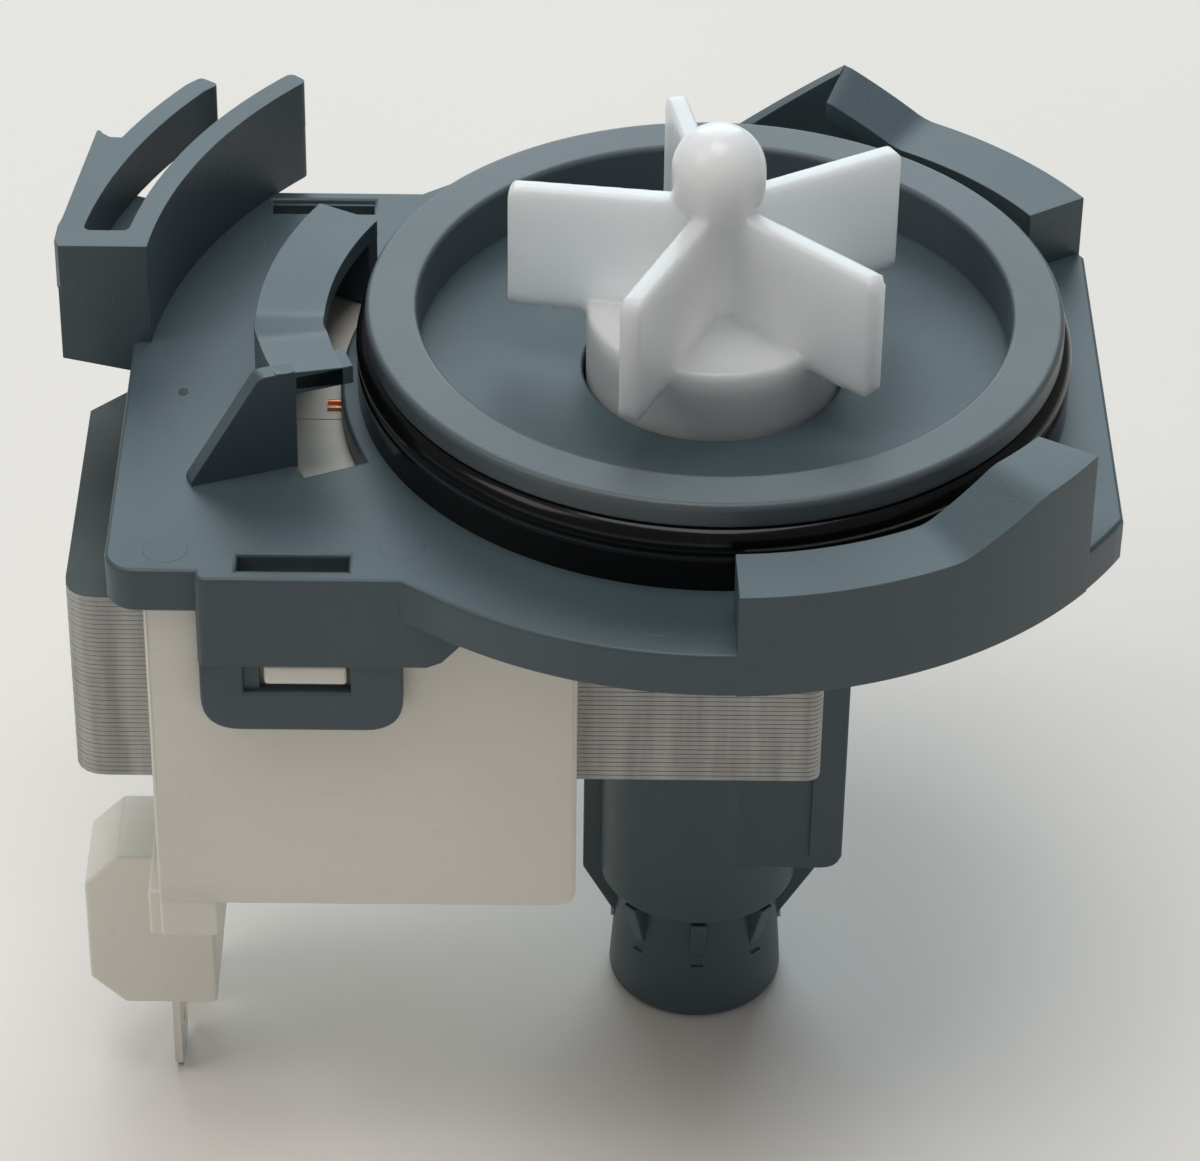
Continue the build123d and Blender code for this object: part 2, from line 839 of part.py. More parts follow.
def catch(side):
    """Wedge catch on the cover that snaps into a tongue's window."""
    bottom = catch_top - catch_h
    face = side * cover_in
    tip = side * (cover_out + catch_out)
    root = side * (cover_out - cover_wall / 2)
    outline = [(face, catch_top), (tip, catch_top), (tip, bottom + catch_h / 2), (root, bottom)]
    outline.append((face, bottom))
    base = make_face(Polyline(*[(catch_x0, y, z) for y, z in outline], close=True))
    return extrude(base, catch_x1 - catch_x0, dir=(1, 0, 0))


def shroud():
    """Eight-sided connector block under the cover."""
    x0 = shroud_x0
    x1 = shroud_x1
    c = shroud_chamfer
    points = [
        (x0, shroud_bottom_z + c),
        (x0 + c, shroud_bottom_z),
        (x1, shroud_bottom_z),
        (x1, shroud_top_z),
        (x0 + c, shroud_top_z),
        (x0, shroud_top_z - c),
    ]
    block = along_y(points, shroud_front_y, shroud_back_y)
    neck = slab(neck_x0, x1, -cover_in, shroud_back_y, shroud_top_z - 1, cover_bottom + cover_wall / 2)
    return block + neck


def blade_place(i):
    """Middle of blade i along Y."""
    return blade_y + i * blade_pitch


def coil_cover():
    """White cover with catches, front tab and connector block."""
    body = cover_shell()
    for rib in cover_ribs():
        body += rib
    for side in (-1, 1):
        body += catch(side)
    body += slab(cover_x0, front_tab_x1, -cover_out, -cover_in, cover_bottom - front_tab_h, cover_bottom + 2)
    body += shroud()
    for i in range(blade_count):
        y = blade_place(i)
        body -= slab(
            blade_x - blade_t / 2, blade_x + blade_t / 2, y - blade_w / 2, y + blade_w / 2,
            shroud_bottom_z - 1, blade_root_z,
        )
    return body


def terminal(i):
    """Blade terminal with a bevelled tip and a latch hole."""
    y = blade_place(i)
    half = blade_w / 2
    b = blade_tip_bevel
    outline = [
        (y - half, blade_root_z),
        (y - half, cup_bottom_z + b),
        (y - half + b, cup_bottom_z),
        (y + half - b, cup_bottom_z),
        (y + half, cup_bottom_z + b),
        (y + half, blade_root_z),
    ]
    x0 = blade_x - blade_t / 2
    base = make_face(Polyline(*[(x0, a, z) for a, z in outline], close=True))
    body = extrude(base, blade_t, dir=(1, 0, 0))
    hole = Pos(blade_x, y, cup_bottom_z + blade_hole_up) * Rot(0, 90, 0) * Cylinder(blade_hole_r, 4)
    return body - hole


def bearing_carrier():
    """Stepped cap pressed into the can's mouth."""
    top = recess_floor_z + carrier_flange_t
    body = disc(recess_r - carrier_fit, recess_floor_z, top)
    body += disc(can_bore_r - carrier_fit, carrier_bottom, recess_floor_z + sink)
    body -= disc(carrier_bore_r, front_grommet_bottom, top + 1)
    body -= disc(washer_r + carrier_hole_gap, carrier_bottom - 1, front_grommet_bottom + 1)
    return body


def bearing(top):
    """Plain bearing bush."""
    return ring_of(bearing_r, shaft_r + running_fit, top - bearing_len, top)


def grommet(r_out, top):
    """Rubber mount round a bearing bush."""
    return ring_of(r_out, bearing_r, top - bearing_len - grommet_over, top + grommet_over)


def shaft_seal():
    """Lip seal above the front bearing."""
    top = recess_floor_z + carrier_flange_t - seal_drop
    outline = [
        (shaft_r + seal_lip_fit, top - seal_t),
        (shaft_r + seal_lip_fit, top - seal_t + seal_lip_h),
        (carrier_bore_r - seal_waist, top - seal_t + seal_slope_h),
        (carrier_bore_r - seal_rim, top),
        (carrier_bore_r, top),
        (carrier_bore_r, top - seal_t),
    ]
    return turned(outline)


def thrust_washer(top):
    """Washer on the shaft."""
    return ring_of(washer_r, shaft_r + running_fit, top - washer_t, top)


def rotor_shaft():
    """Ground shaft with bevelled ends and a groove for the impeller."""
    r = shaft_r
    g = groove_w / 2
    outline = [
        (0, shaft_bottom_z),
        (r - shaft_bevel, shaft_bottom_z),
        (r, shaft_bottom_z + shaft_bevel),
        (r, groove_z - g),
        (r - groove_depth, groove_z - g),
        (r - groove_depth, groove_z + g),
        (r, groove_z + g),
        (r, shaft_top_z - shaft_bevel),
        (r - shaft_bevel, shaft_top_z),
        (0, shaft_top_z),
    ]
    return turned(outline)


def magnet_sleeve():
    """Moulded core between shaft and magnet, with end flanges and a tail."""
    tail_end = rear_washer_top
    outline = [
        (shaft_r, sleeve_top),
        (sleeve_flange_r, sleeve_top),
        (sleeve_flange_r, magnet_top_z),
        (magnet_bore_r, magnet_top_z),
        (magnet_bore_r, magnet_bottom),
        (sleeve_flange_r, magnet_bottom),
        (sleeve_flange_r, magnet_bottom - sleeve_flange_t),
        (sleeve_tail_r, magnet_bottom - sleeve_flange_t),
        (sleeve_tail_r, tail_end),
        (shaft_r, tail_end),
    ]
    return turned(outline)


def drive_dog():
    """Disc with a lug on the shaft, opposite the lug of the hub."""
    low = dog_disc_top - dog_disc_t
    body = disc(dog_r_out, low, dog_disc_top)
    half = dog_arc / 2
    mid = dog_mid
    body += arc_block(dog_r_in, dog_r_out, mid - half, mid + half, dog_disc_top - sink, dog_lug_top)
    return body - disc(shaft_r, low - 1, dog_lug_top + 1)


def dog_pads():
    """Rubber pads on both faces of the dog's lug."""
    half = dog_arc / 2
    pads = []
    for start in (dog_mid - half - pad_arc, dog_mid + half):
        pads.append(arc_block(dog_r_in, dog_r_out, start, start + pad_arc, dog_disc_top, dog_lug_top))
    return Compound(children=pads)


def vane(angle):
    """One straight blade of the impeller with a rounded upper and a bevelled lower corner."""
    c = vane_corner
    tip = blade_tip_r
    edges = [
        Line((0, 0, vane_bottom), (tip - vane_chamfer, 0, vane_bottom)),
        Line((tip - vane_chamfer, 0, vane_bottom), (tip, 0, vane_bottom + vane_chamfer)),
        Line((tip, 0, vane_bottom + vane_chamfer), (tip, 0, vane_top - c)),
        ThreePointArc(
            (tip, 0, vane_top - c),
            (tip - c * bulge, 0, vane_top - c * bulge),
            (tip - c, 0, vane_top),
        ),
        Line((tip - c, 0, vane_top), (0, 0, vane_top)),
        Line((0, 0, vane_top), (0, 0, vane_bottom)),
    ]
    face = make_face(edges)
    body = Pos(0, vane_t / 2, 0) * extrude(face, vane_t, dir=(0, -1, 0))
    return Rot(0, 0, angle) * body


def impeller_hub():
    """Hub cup, neck and long ball turned together."""
    low_ball_z = ball_z - ball_stretch
    neck_top = low_ball_z - sqrt(ball_r ** 2 - neck_top_r ** 2)
    rise = hub_foot_round
    outline = [
        (0, hub_bottom),
        (hub_r, hub_bottom),
        (hub_r, hub_top - hub_round),
        (hub_r - hub_round * bulge, hub_top - hub_round * bulge),
        (hub_r - hub_round, hub_top),
        (neck_foot_r + rise, hub_top),
        (neck_foot_r + rise * bulge, hub_top + rise * bulge),
        (neck_foot_r, hub_top + rise),
        (neck_top_r, neck_top),
        (neck_top_r, low_ball_z),
        (0, low_ball_z),
    ]
    body = turned(outline) + Pos(0, 0, low_ball_z) * Sphere(ball_r)
    body += disc(ball_r, low_ball_z, ball_z) + Pos(0, 0, ball_z) * Sphere(ball_r)
    hollow = ring_of(hub_r - hub_wall, hub_boss_r, hub_bottom - 1, hub_roof_z)
    hollow += disc(hub_boss_r + 1, hub_bottom - 1, hub_boss_bottom)
    return body - hollow


def impeller():
    """Five straight blades on a hub cup with an inner lug, and a ball on the neck."""
    body = impeller_hub()
    for i in range(vane_count):
        body += vane(vane_first + i * 360 / vane_count)
    half = hub_lug_arc / 2
    mid = dog_mid + 180
    body += arc_block(
        hub_boss_r - sink, hub_r - hub_wall + sink, mid - half, mid + half, hub_boss_bottom, hub_roof_z + sink
    )
    bore_r = shaft_r + running_fit
    bore = disc(bore_r, hub_bottom - 1, shaft_top_z + bore_depth_over)
    bead_h = groove_w - bead_play
    bead = ring_of(bore_r + sink, bore_r - groove_depth, groove_z - bead_h / 2, groove_z + bead_h / 2)
    return body - (bore - bead)


nodes = {
    "flange_plate": flange_plate(),
    "collar_ring": collar_ring(),
    "o_ring": o_ring(),
    "can_gasket": can_gasket(),
    "rotor_can": rotor_can(),
    "stator_core": stator_core(),
    "bobbin_front": bobbin(-1),
    "bobbin_rear": bobbin(1),
    "winding_front": winding(-1),
    "winding_rear": winding(1),
    "coil_cover": coil_cover(),
    "terminal_front": terminal(0),
    "terminal_rear": terminal(1),
    "bearing_carrier": bearing_carrier(),
    "front_bearing": bearing(front_bearing_top),
    "front_grommet": grommet(carrier_bore_r, front_bearing_top),
    "rear_bearing": bearing(rear_bearing_top),
    "rear_grommet": grommet(cup_bore_r, rear_bearing_top),
    "shaft_seal": shaft_seal(),
    "rotor_shaft": rotor_shaft(),
    "rotor_magnet": ring_of(magnet_r, magnet_bore_r, magnet_bottom, magnet_top_z),
    "magnet_sleeve": magnet_sleeve(),
    "thrust_washer_front": thrust_washer(front_washer_top),
    "thrust_washer_rear": thrust_washer(rear_washer_top),
    "drive_dog": drive_dog(),
    "dog_pads": dog_pads(),
    "impeller": impeller(),
}

os.makedirs("parts", exist_ok=True)
for name, shape in nodes.items():
    export_step(shape, "parts/" + name + ".step")
print("impeller lag, degrees each way", lag_range)
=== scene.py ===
import math

import bmesh
import bpy
from mathutils import Matrix, Vector


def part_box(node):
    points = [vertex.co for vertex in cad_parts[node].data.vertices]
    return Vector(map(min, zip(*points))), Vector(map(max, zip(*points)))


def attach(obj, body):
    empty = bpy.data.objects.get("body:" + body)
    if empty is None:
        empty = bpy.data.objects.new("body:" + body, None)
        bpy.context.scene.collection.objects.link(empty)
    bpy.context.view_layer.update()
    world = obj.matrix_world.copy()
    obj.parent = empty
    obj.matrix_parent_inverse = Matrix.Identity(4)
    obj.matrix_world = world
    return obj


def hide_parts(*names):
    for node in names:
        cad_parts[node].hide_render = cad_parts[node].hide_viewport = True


bl_info = {
    "name": "Drain pump",
    "version": (1, 0, 0),
    "blender": (4, 5, 0),
    "location": "3D View > Sidebar > Drain pump",
    "description": "Builds the looks of a dishwasher drain pump round its packed frame",
    "category": "Object",
}

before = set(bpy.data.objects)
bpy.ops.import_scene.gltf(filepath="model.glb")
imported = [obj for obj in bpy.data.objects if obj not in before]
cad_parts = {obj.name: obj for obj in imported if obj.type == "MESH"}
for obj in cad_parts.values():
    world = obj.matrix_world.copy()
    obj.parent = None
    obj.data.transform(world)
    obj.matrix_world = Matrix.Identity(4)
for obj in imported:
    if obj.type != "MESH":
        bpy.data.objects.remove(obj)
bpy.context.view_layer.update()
MM = 0.001

# How far shells overlap or stay apart, so that no two faces lie in one plane
LAP = 0.02

# Edges that are rounded and edges that are shaded as sharp
SOFTEN_OVER = math.radians(18.0)
SOFTEN_STEPS = 3
SHARP_OVER = math.radians(35.0)

# Flange plate and its skirt, in millimetres like all sizes below
PLATE_TOP = -8.35
PLATE_BOTTOM = -10.85
PLATE_R = 41.3
RIGHT_X = 35.5
TAB_X = -52.9
TAB_Y = 30.1
TAB_CORNER = 2.8
BLOCK_Y = 31.25
BLOCK_CORNER = 1.0
BEVEL_IN_X = -27.3
BEVEL_OUT_X = -23.0
SKIRT_T = 1.3
COVER_ROOM = 0.65
SKIRT_BOTTOM = -12.7
FLUSH = 0.02

# Tongues at the front and rear of the tab
BLOCK_X = (-45.0, -27.4)
BLOCK_IN_Y = 29.4
BLOCK_BOTTOM = -17.7
WEDGE = ((-0.5, 0.02), (2.3, 0.02), (3.6, 0.6), (5.2, 2.4))
TONGUE_X = (-44.9, -27.2)
TONGUE_BACK = 0.3
TONGUE_BOTTOM = -25.0
TONGUE_CORNER = 3.5
WINDOW_X = (-41.1, -31.8)
WINDOW_Z = (-20.85, -17.95)
WEB_W = 1.4
WEB_BACK = 0.6
SLOT_X = (-41.4, -31.8)
SLOT_Y = (27.5, 29.8)

# Bayonet ledges
LEDGE_START = 31.8
LEDGE_STEP = 120.0
LEDGE_ARC = (27.5, 12.0, 9.8)
LEDGE_LOW = -2.25
LEDGE_HIGH = 1.05
LEDGE_END = 1.75
LEDGE_T = 1.8
LEDGE_IN = 35.1
WALL_IN = 39.5
PAD_IN = 34.2
PAD_ARC = 4.7
END_WALL_ARC = 2.6
SLOT_IN = 33.7
TAIL_ARC = 14.0
TAIL_Z = -6.2
RIB_ARC = 2.3
RIB_REACH = 8.0
RIB_TOP = 1.5

# Finger latch
LATCH_TOP = 2.0
LATCH_LOW = -3.0
LATCH_Y = 5.06
ARM_R = (51.5, 53.7, 57.8, 60.0)
BLOCK_END_Y = 7.8
LATCH_BLOCK_X = (-59.5, -51.2)
LATCH_BLOCK_Z = (-10.2, -12.0)
INNER_TIP = 137.9
OUTER_TIP = 144.1
TIP_ROUND = 0.8
TIP_RUN = 1.8
TIP_LEAN = 0.3
OUTER_TIP_ROUND = (0.5, 0.6)
BARB = (
    (-56.1, 24.0), (-56.8, 24.6), (-57.15, 25.17), (-57.43, 25.17), (-59.3, 9.9), (-59.6, 8.5), (-59.7, 6.0),
)
BARB_ANGLE = 156.5
WEB_T = 1.8
WEB_END = 158.0

# Collar, ring and seal
COLLAR_R = (29.75, 32.0)
COLLAR_TOP = -5.2
RING_OUT = 31.4
RING_IN = 26.7
RING_T = 2.3
RING_SKIRT = 29.3
RING_STEPS = 192
# Thin black rubber sleeve of the seal over the collar wall, as (radius past the wall, z) points; it paints
# the deep shade under the O-ring black
SEAL_SHADE_SLEEVE = ((0.01, -8.33), (0.16, -8.33), (0.16, -5.3), (0.01, -5.1))

# Round marks of the ejector pins on the plate and floor, and the gate's mark
MARK_R = 2.0
MARK_RISE = 0.025
MARK_SINK = 0.3
PLATE_MARKS = ((-47.7, -26.85), (-27.3, -26.1), (-5.3, -36.6), (-43.7, 21.3), (-42.8, 14.8))
FLOOR_MARKS = ((-14.8, -13.0), (14.9, -13.3))
GATE_MARK = (-47.8, -2.9)
GATE_MARK_R = (0.45, 0.585)

# Rotor can
FLOOR_RIM_Z = -5.2
FLOOR_DISH = 1.7
DISC_R = 29.65
DISC_T = 2.5
RECESS_R = 11.8
DISH_IN_R = RECESS_R + 1.1
DISH_OUT_R = RING_IN - 0.3
RECESS_Z = -12.0
RECESS_T = 1.2
CAN_R = 9.6
CAN_IN = 8.4
CAN_SHOULDER = -65.2
CUP_R = 8.45
CUP_IN = 6.8
CUP_RIB_END = -72.0
CUP_POCKET = 0.75
CUP_RIBS = 8
CUP_RIB_T = 1.5
CUP_BOTTOM = -78.5
CUP_FLOOR = CUP_BOTTOM + 1.3
CUP_NECK = CAN_SHOULDER - (CAN_R - CUP_R)
GUSSET_X = (-11.2, 11.5)
GUSSET_T = 1.6
GUSSET_IN = (9.0, 8.0)
ARM_X = (10.3, 13.4)
ARM_Y = (-9.5, -6.5)
ARM_END = -57.0
FOOT_Z = (-58.7, -41.5)
FOOT_Y = (-9.0, -7.0)

# Core, coils and cover
CORE_X = (-57.2, 10.0)
CORE_Y = 24.0
CORE_TOP = -15.8
CORE_H = 20.0
CORE_CHAMFER_Y = 4.7
LEG_IN = 8.0
YOKE_X = -41.2
SHOE_X = -12.6
BORE_R = 9.9
SLIT = 1.1
COIL_X = (-40.9, -13.35)
COIL_HEAD = 10.2
COIL_END_T = 1.2
COIL_TUBE = (0.05, 1.05)
COIL_FLANGE = (3.8, 4.8)
COIL_OUT = (3.2, 4.2)
COIL_CORNER = (2.0, 1.8)
HEAD_JOINT_Y = -3.2
HEAD_JOINT = 0.07
HEAD_BRIDGE_T = 2.5
LEAD_X = (-34.9, -33.3)
LEAD_Y = (-1.7, -0.7)
CORE_CORNER = 3.0
CORE_FRONT_CORNER = 1.5
SHEET_BEVEL = 0.02
SHEET_SHIFT = 0.008
SHEET_SKEW = 0.6
SHEET_PHASE = 2.4
COVER_X = (-49.7, -12.0)
COVER_OUT = 29.0
COVER_WALL = 1.2
COVER_CORNER = 1.8
COVER_RIBS = 4
COVER_Z = (-46.7, -11.2)
CATCH_X = (-39.3, -32.1)
CATCH_Z = (-20.5, -18.0)
CATCH_OUT = 1.8
CATCH_LIP = 0.5
TAB_H = 3.9
TAB_END_X = -44.4
SHROUD_X = (-57.8, -45.9)
SHROUD_Y = (-18.3, 0.9)
SHROUD_Z = (-68.3, -50.3)
SHROUD_CUT = 3.2
SHROUD_BACK = -9.0
SHROUD_WALL_X = -51.6
NECK_X = -50.8
BLADE_HOLE_UP = 4.6
BLADE_HOLE_R = 0.85
BLADE_CUT = (1.2, 1.3)
BLADE_ROUND = (0.4, 0.3)

# Impeller
VANE_R = 18.7
VANE_Z = (-1.4, 10.85)
VANE_T = 1.9
VANE_IN = 0.2
VANES = 5
VANE_FIRST = 101.0
VANE_ROUND = (0.7, 1.1)
BALL_R = 4.2
BALL_Z = 13.9
BALL_STRETCH = 1.2
BALL_ARC = (-58, 84)
NECK_R = (3.0, 2.8)
NECK_ROUND = (1.4, 0.8)
HUB_TOP = -0.2
HUB_R = 11.5
HUB_ROUND = 0.5
HUB_ROOF = -2.4
HUB_BOTTOM = -9.5
HUB_WALL = 1.6

# Camera solved from the photograph: place, heading, height, roll and focal length
CAMERA_AT = (-13.15, -354.48, 232.92)
CAMERA_TURN = -0.52
CAMERA_DOWN = 36.7
CAMERA_ROLL = 0.85
SENSOR_MM = 36.0
FOCAL_SHARE = 4720 / 1200

# Table, in metres, and the lamps' names, places, sizes and colours
TABLE_HALF = 4.0
TABLE_DROP = 0.0001
LAMPS = (
    ("key", (-0.05, -0.08, 1.05), 0.60, (1.0, 0.98, 0.95)),
    ("window", (0.0, 0.98, 0.58), 1.0, (0.78, 0.93, 1.0)),
    ("side", (-0.70, -0.25, 0.75), 0.45, (1.0, 0.95, 0.88)),
)
ROOM_COLOUR = (0.96, 0.98, 1.0, 1)

# Matrices that stand a flat outline upright
UPRIGHT_XZ = Matrix(((1, 0, 0, 0), (0, 0, -1, 0), (0, 1, 0, 0), (0, 0, 0, 1)))
UPRIGHT_YZ = Matrix(((0, 0, 1, 0), (1, 0, 0, 0), (0, 1, 0, 0), (0, 0, 0, 1)))


# Shapes


def at(r, a, z=0.0):
    """Point at radius r and angle a in degrees."""
    return Vector((r * math.cos(math.radians(a)), r * math.sin(math.radians(a)), z))


def steps(a0, a1, size=2.0):
    """Angles from a0 to a1, evenly spaced, both ends included."""
    count = max(1, math.ceil(abs(a1 - a0) / size))
    return [a0 + (a1 - a0) * i / count for i in range(count + 1)]


def arc(r, a0, a1, centre=(0.0, 0.0), size=2.0):
    """Flat points along an arc."""
    return [
        (centre[0] + r * math.cos(math.radians(a)), centre[1] + r * math.sin(math.radians(a)))
        for a in steps(a0, a1, size)
    ]


def eased(points, count=5):
    """Outline of (x, y, radius) corners, with each corner that has a radius drawn as an arc."""
    out = []
    total = len(points)
    for i, point in enumerate(points):
        here = Vector(point[:2])
        radius = point[2] if len(point) > 2 else 0.0
        if radius <= 0:
            out.append((here.x, here.y))
            continue
        before = Vector(points[i - 1][:2]) - here
        after = Vector(points[(i + 1) % total][:2]) - here
        half = before.angle(after) / 2
        reach = min(radius / math.tan(half), before.length * 0.49, after.length * 0.49)
        start = here + before.normalized() * reach
        end = here + after.normalized() * reach
        for k in range(count + 1):
            t = k / count
            p = start.lerp(here, t).lerp(here.lerp(end, t), t)
            out.append((p.x, p.y))
    return out


def moved_verts(made):
    """Vertices among what an operator made."""
    return [v for v in made if isinstance(v, bmesh.types.BMVert)]


def prism(bm, outline, z0, z1, place=None):
    """Extrudes a flat outline; place is a matrix that stands the solid elsewhere."""
    low = [bm.verts.new((x, y, z0)) for x, y in outline]
    base = bm.faces.new(low)
    high = moved_verts(bmesh.ops.extrude_face_region(bm, geom=[base])["geom"])
    bmesh.ops.translate(bm, vec=(0, 0, z1 - z0), verts=high)
    if place:
        bmesh.ops.transform(bm, matrix=place, verts=low + high)
    return low + high


def sweep(bm, section, a0, a1, size=2.0):
    """Spins a closed section of (radius, z) points about the axis and returns the vertices."""
    before = set(bm.verts)
    base = bm.faces.new([bm.verts.new(at(r, a0, z)) for r, z in section])
    bmesh.ops.spin(
        bm, geom=[base, *base.edges, *base.verts], cent=(0, 0, 0), axis=(0, 0, 1),
        angle=math.radians(a1 - a0), steps=max(1, math.ceil(abs(a1 - a0) / size)),
    )
    return [v for v in bm.verts if v not in before]


def turned(bm, profile, count=144):
    """Full spin of (radius, z) points that run from axis to axis or round a tube."""
    row = [bm.verts.new((r, 0, z)) for r, z in profile]
    pairs = list(zip(row, row[1:]))
    if profile[0][0] > 0:
        pairs.append((row[-1], row[0]))
    edges = [bm.edges.new(pair) for pair in pairs]
    bmesh.ops.spin(
        bm, geom=row + edges, cent=(0, 0, 0), axis=(0, 0, 1), angle=math.tau, steps=count, use_merge=True
    )


def corner(r, a, rounding):
    """Corner of an outline at radius r and angle a, with its rounding."""
    return (*at(r, a).xy, rounding)


def rectangle(xs, ys):
    """Outline of a rectangle."""
    return [(xs[0], ys[0]), (xs[1], ys[0]), (xs[1], ys[1]), (xs[0], ys[1])]


def block(bm, xs, ys, zs):
    """Box between two corners."""
    prism(bm, rectangle(xs, ys), zs[0], zs[1])


def standing(angle):
    """Matrix that stands an outline upright, at an angle in degrees about the axis."""
    return Matrix.Rotation(math.radians(angle), 4, "Z") @ UPRIGHT_XZ


def left_angle(r, y):
    """Angle in degrees at which a circle's left side reaches y."""
    return 180 - math.degrees(math.asin(y / r))


def clean(bm):
    """Joins double vertices and turns every face outwards."""
    bmesh.ops.remove_doubles(bm, verts=bm.verts, dist=1e-4)
    bmesh.ops.recalc_face_normals(bm, faces=bm.faces)


def soften(bm, width):
    """Rounds every sharp edge and marks the rounded faces as worn."""
    clean(bm)
    worn = bm.faces.layers.int.get("worn") or bm.faces.layers.int.new("worn")
    edges = [e for e in bm.edges if e.is_manifold and e.calc_face_angle(0) > SOFTEN_OVER]
    made = bmesh.ops.bevel(
        bm, geom=edges, offset=width, offset_type="OFFSET", segments=SOFTEN_STEPS,
        profile=0.5, affect="EDGES", clamp_overlap=True, material=-1,
    )
    for face in made["faces"]:
        face[worn] = 1


def add_spline(curve, places):
    """Adds a line through (x, y, z) places to a curve."""
    spline = curve.splines.new("POLY")
    spline.points.add(len(places) - 1)
    for knot, place in zip(spline.points, places):
        knot.co = (*place, 1)
    return spline


def curve_mesh(curve):
    """Turns a curve into a mesh and deletes the curve."""
    holder = bpy.data.objects.new("curve", curve)
    mesh = bpy.data.meshes.new_from_object(holder)
    bpy.data.objects.remove(holder)
    bpy.data.curves.remove(curve)
    return mesh


def flat_plate(outlines, z0, z1, rounding, place=None):
    """Mesh of a plate with holes and rounded rims, drawn as a filled curve."""
    curve = bpy.data.curves.new("outline", "CURVE")
    curve.dimensions = "2D"
    curve.fill_mode = "BOTH"
    curve.extrude = (z1 - z0) / 2 - rounding
    curve.bevel_depth = rounding
    curve.bevel_resolution = 2
    curve.offset = -rounding
    for outline in outlines:
        add_spline(curve, [(x, y, 0) for x, y in outline]).use_cyclic_u = True
    mesh = curve_mesh(curve)
    mesh.transform(Matrix.Translation((0, 0, (z0 + z1) / 2)))
    if place:
        mesh.transform(place)
    return mesh


def add_mesh(bm, mesh):
    """Adds a mesh to a bmesh and deletes the mesh."""
    bm.from_mesh(mesh)
    bpy.data.meshes.remove(mesh)


def offset_outline(outline, inset):
    """Outline moved inwards by an inset, for an outline that runs anticlockwise."""
    out = []
    total = len(outline)
    for i in range(total):
        p = Vector(outline[i])
        a = (p - Vector(outline[i - 1])).normalized()
        b = (Vector(outline[(i + 1) % total]) - p).normalized()
        normal = Vector((-a.y, a.x)) + Vector((-b.y, b.x))
        scale = inset / max(0.3, normal.length_squared / 2)
        out.append((p.x + normal.x * scale, p.y + normal.y * scale))
    return out


def finish_piece(name, bm, materials, body, nodes=(), weighted=True):
    """Turns a bmesh in millimetres into a finished object that rides on its body."""
    clean(bm)
    bmesh.ops.scale(bm, vec=(MM, MM, MM), verts=bm.verts)
    mesh = bpy.data.meshes.new(name)
    bm.to_mesh(mesh)
    bm.free()
    mesh.shade_smooth()
    mesh.set_sharp_from_angle(angle=SHARP_OVER)
    piece = bpy.data.objects.new(name, mesh)
    bpy.context.scene.collection.objects.link(piece)
    for material in materials:
        mesh.materials.append(material)
    if weighted:
        normals = piece.modifiers.new("even shading", "WEIGHTED_NORMAL")
        normals.keep_sharp = True
    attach(piece, body)
    if nodes:
        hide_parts(*nodes)
    return piece


# Materials


class Nodes:
    """A material with helpers that add and link its shader nodes."""

    def __init__(self, name):
        self.material = bpy.data.materials.new(name)
        self.material.use_nodes = True
        self.tree = self.material.node_tree
        self.shader = self.tree.nodes["Principled BSDF"]
        self.where = self.add("TexCoord").outputs["Object"]

    def put(self, node, values):
        """Links or sets a node's input sockets by name."""
        for key, value in values.items():
            socket = node.inputs[key.replace("_", " ")]
            if isinstance(value, bpy.types.NodeSocket):
                self.tree.links.new(value, socket)
            else:
                socket.default_value = value
        return node

    def add(self, kind, **values):
        """Adds a shader node and links or sets its input sockets."""
        return self.put(self.tree.nodes.new("ShaderNode" + kind), values)

    def noise(self, scale, detail, stretch=None):
        """Noise over the object, with an optional stretch of the coordinates."""
        source = self.where
        if stretch:
            source = self.add("Mapping", Vector=source, Scale=stretch).outputs["Vector"]
        return self.add("TexNoise", Vector=source, Scale=scale, Detail=detail).outputs["Fac"]

    def ramp(self, source, low, high, start=0.35, end=0.65):
        """Colour ramp between two colours."""
        node = self.add("ValToRGB", Fac=source)
        for element, place, colour in zip(node.color_ramp.elements, (start, end), (low, high)):
            element.position = place
            element.color = (*colour[:3], 1)
        return node.outputs["Color"]

    def shades(self, source, colour, low, high):
        """Ramp between two shades of a colour."""
        return self.ramp(source, scaled(colour, low), scaled(colour, high))

    def spread(self, source, low, high):
        """Maps 0 to 1 onto a range."""
        return self.add("MapRange", Value=source, To_Min=low, To_Max=high).outputs["Result"]

    def mix(self, share, low, high):
        """Mix of two colours by a share."""
        node = self.add("Mix")
        node.data_type = "RGBA"
        low, high = (v if isinstance(v, bpy.types.NodeSocket) else (*v[:3], 1) for v in (low, high))
        return self.put(node, {"Factor": share, "A": low, "B": high}).outputs["Result"]

    def patches(self, base, noise, reach, most, colour):
        """Mixes a colour into the base where a noise is high, up to a share."""
        where = self.ramp(noise, (0, 0, 0), (1, 1, 1), *reach)
        return self.mix(self.spread(where, 0.0, most), base, colour)

    def bump(self, heights):
        """Chain of bumps; heights is a list of (output, distance in metres)."""
        normal = {}
        for output, distance in heights:
            node = self.add("Bump", Strength=1.0, Distance=distance, Height=output, **normal)
            normal = {"Normal": node.outputs["Normal"]}
        self.put(self.shader, normal)

    def finish(self, base, rough, heights, **values):
        """Sets the colour, the roughness (output, low, high), other values and the bumps."""
        self.put(self.shader, {"Base Color": base, "Roughness": self.spread(*rough), **values})
        self.bump(heights)
        return self.material


def scaled(colour, k):
    """Colour times a factor."""
    return tuple(min(1.0, c * k) for c in colour[:3])


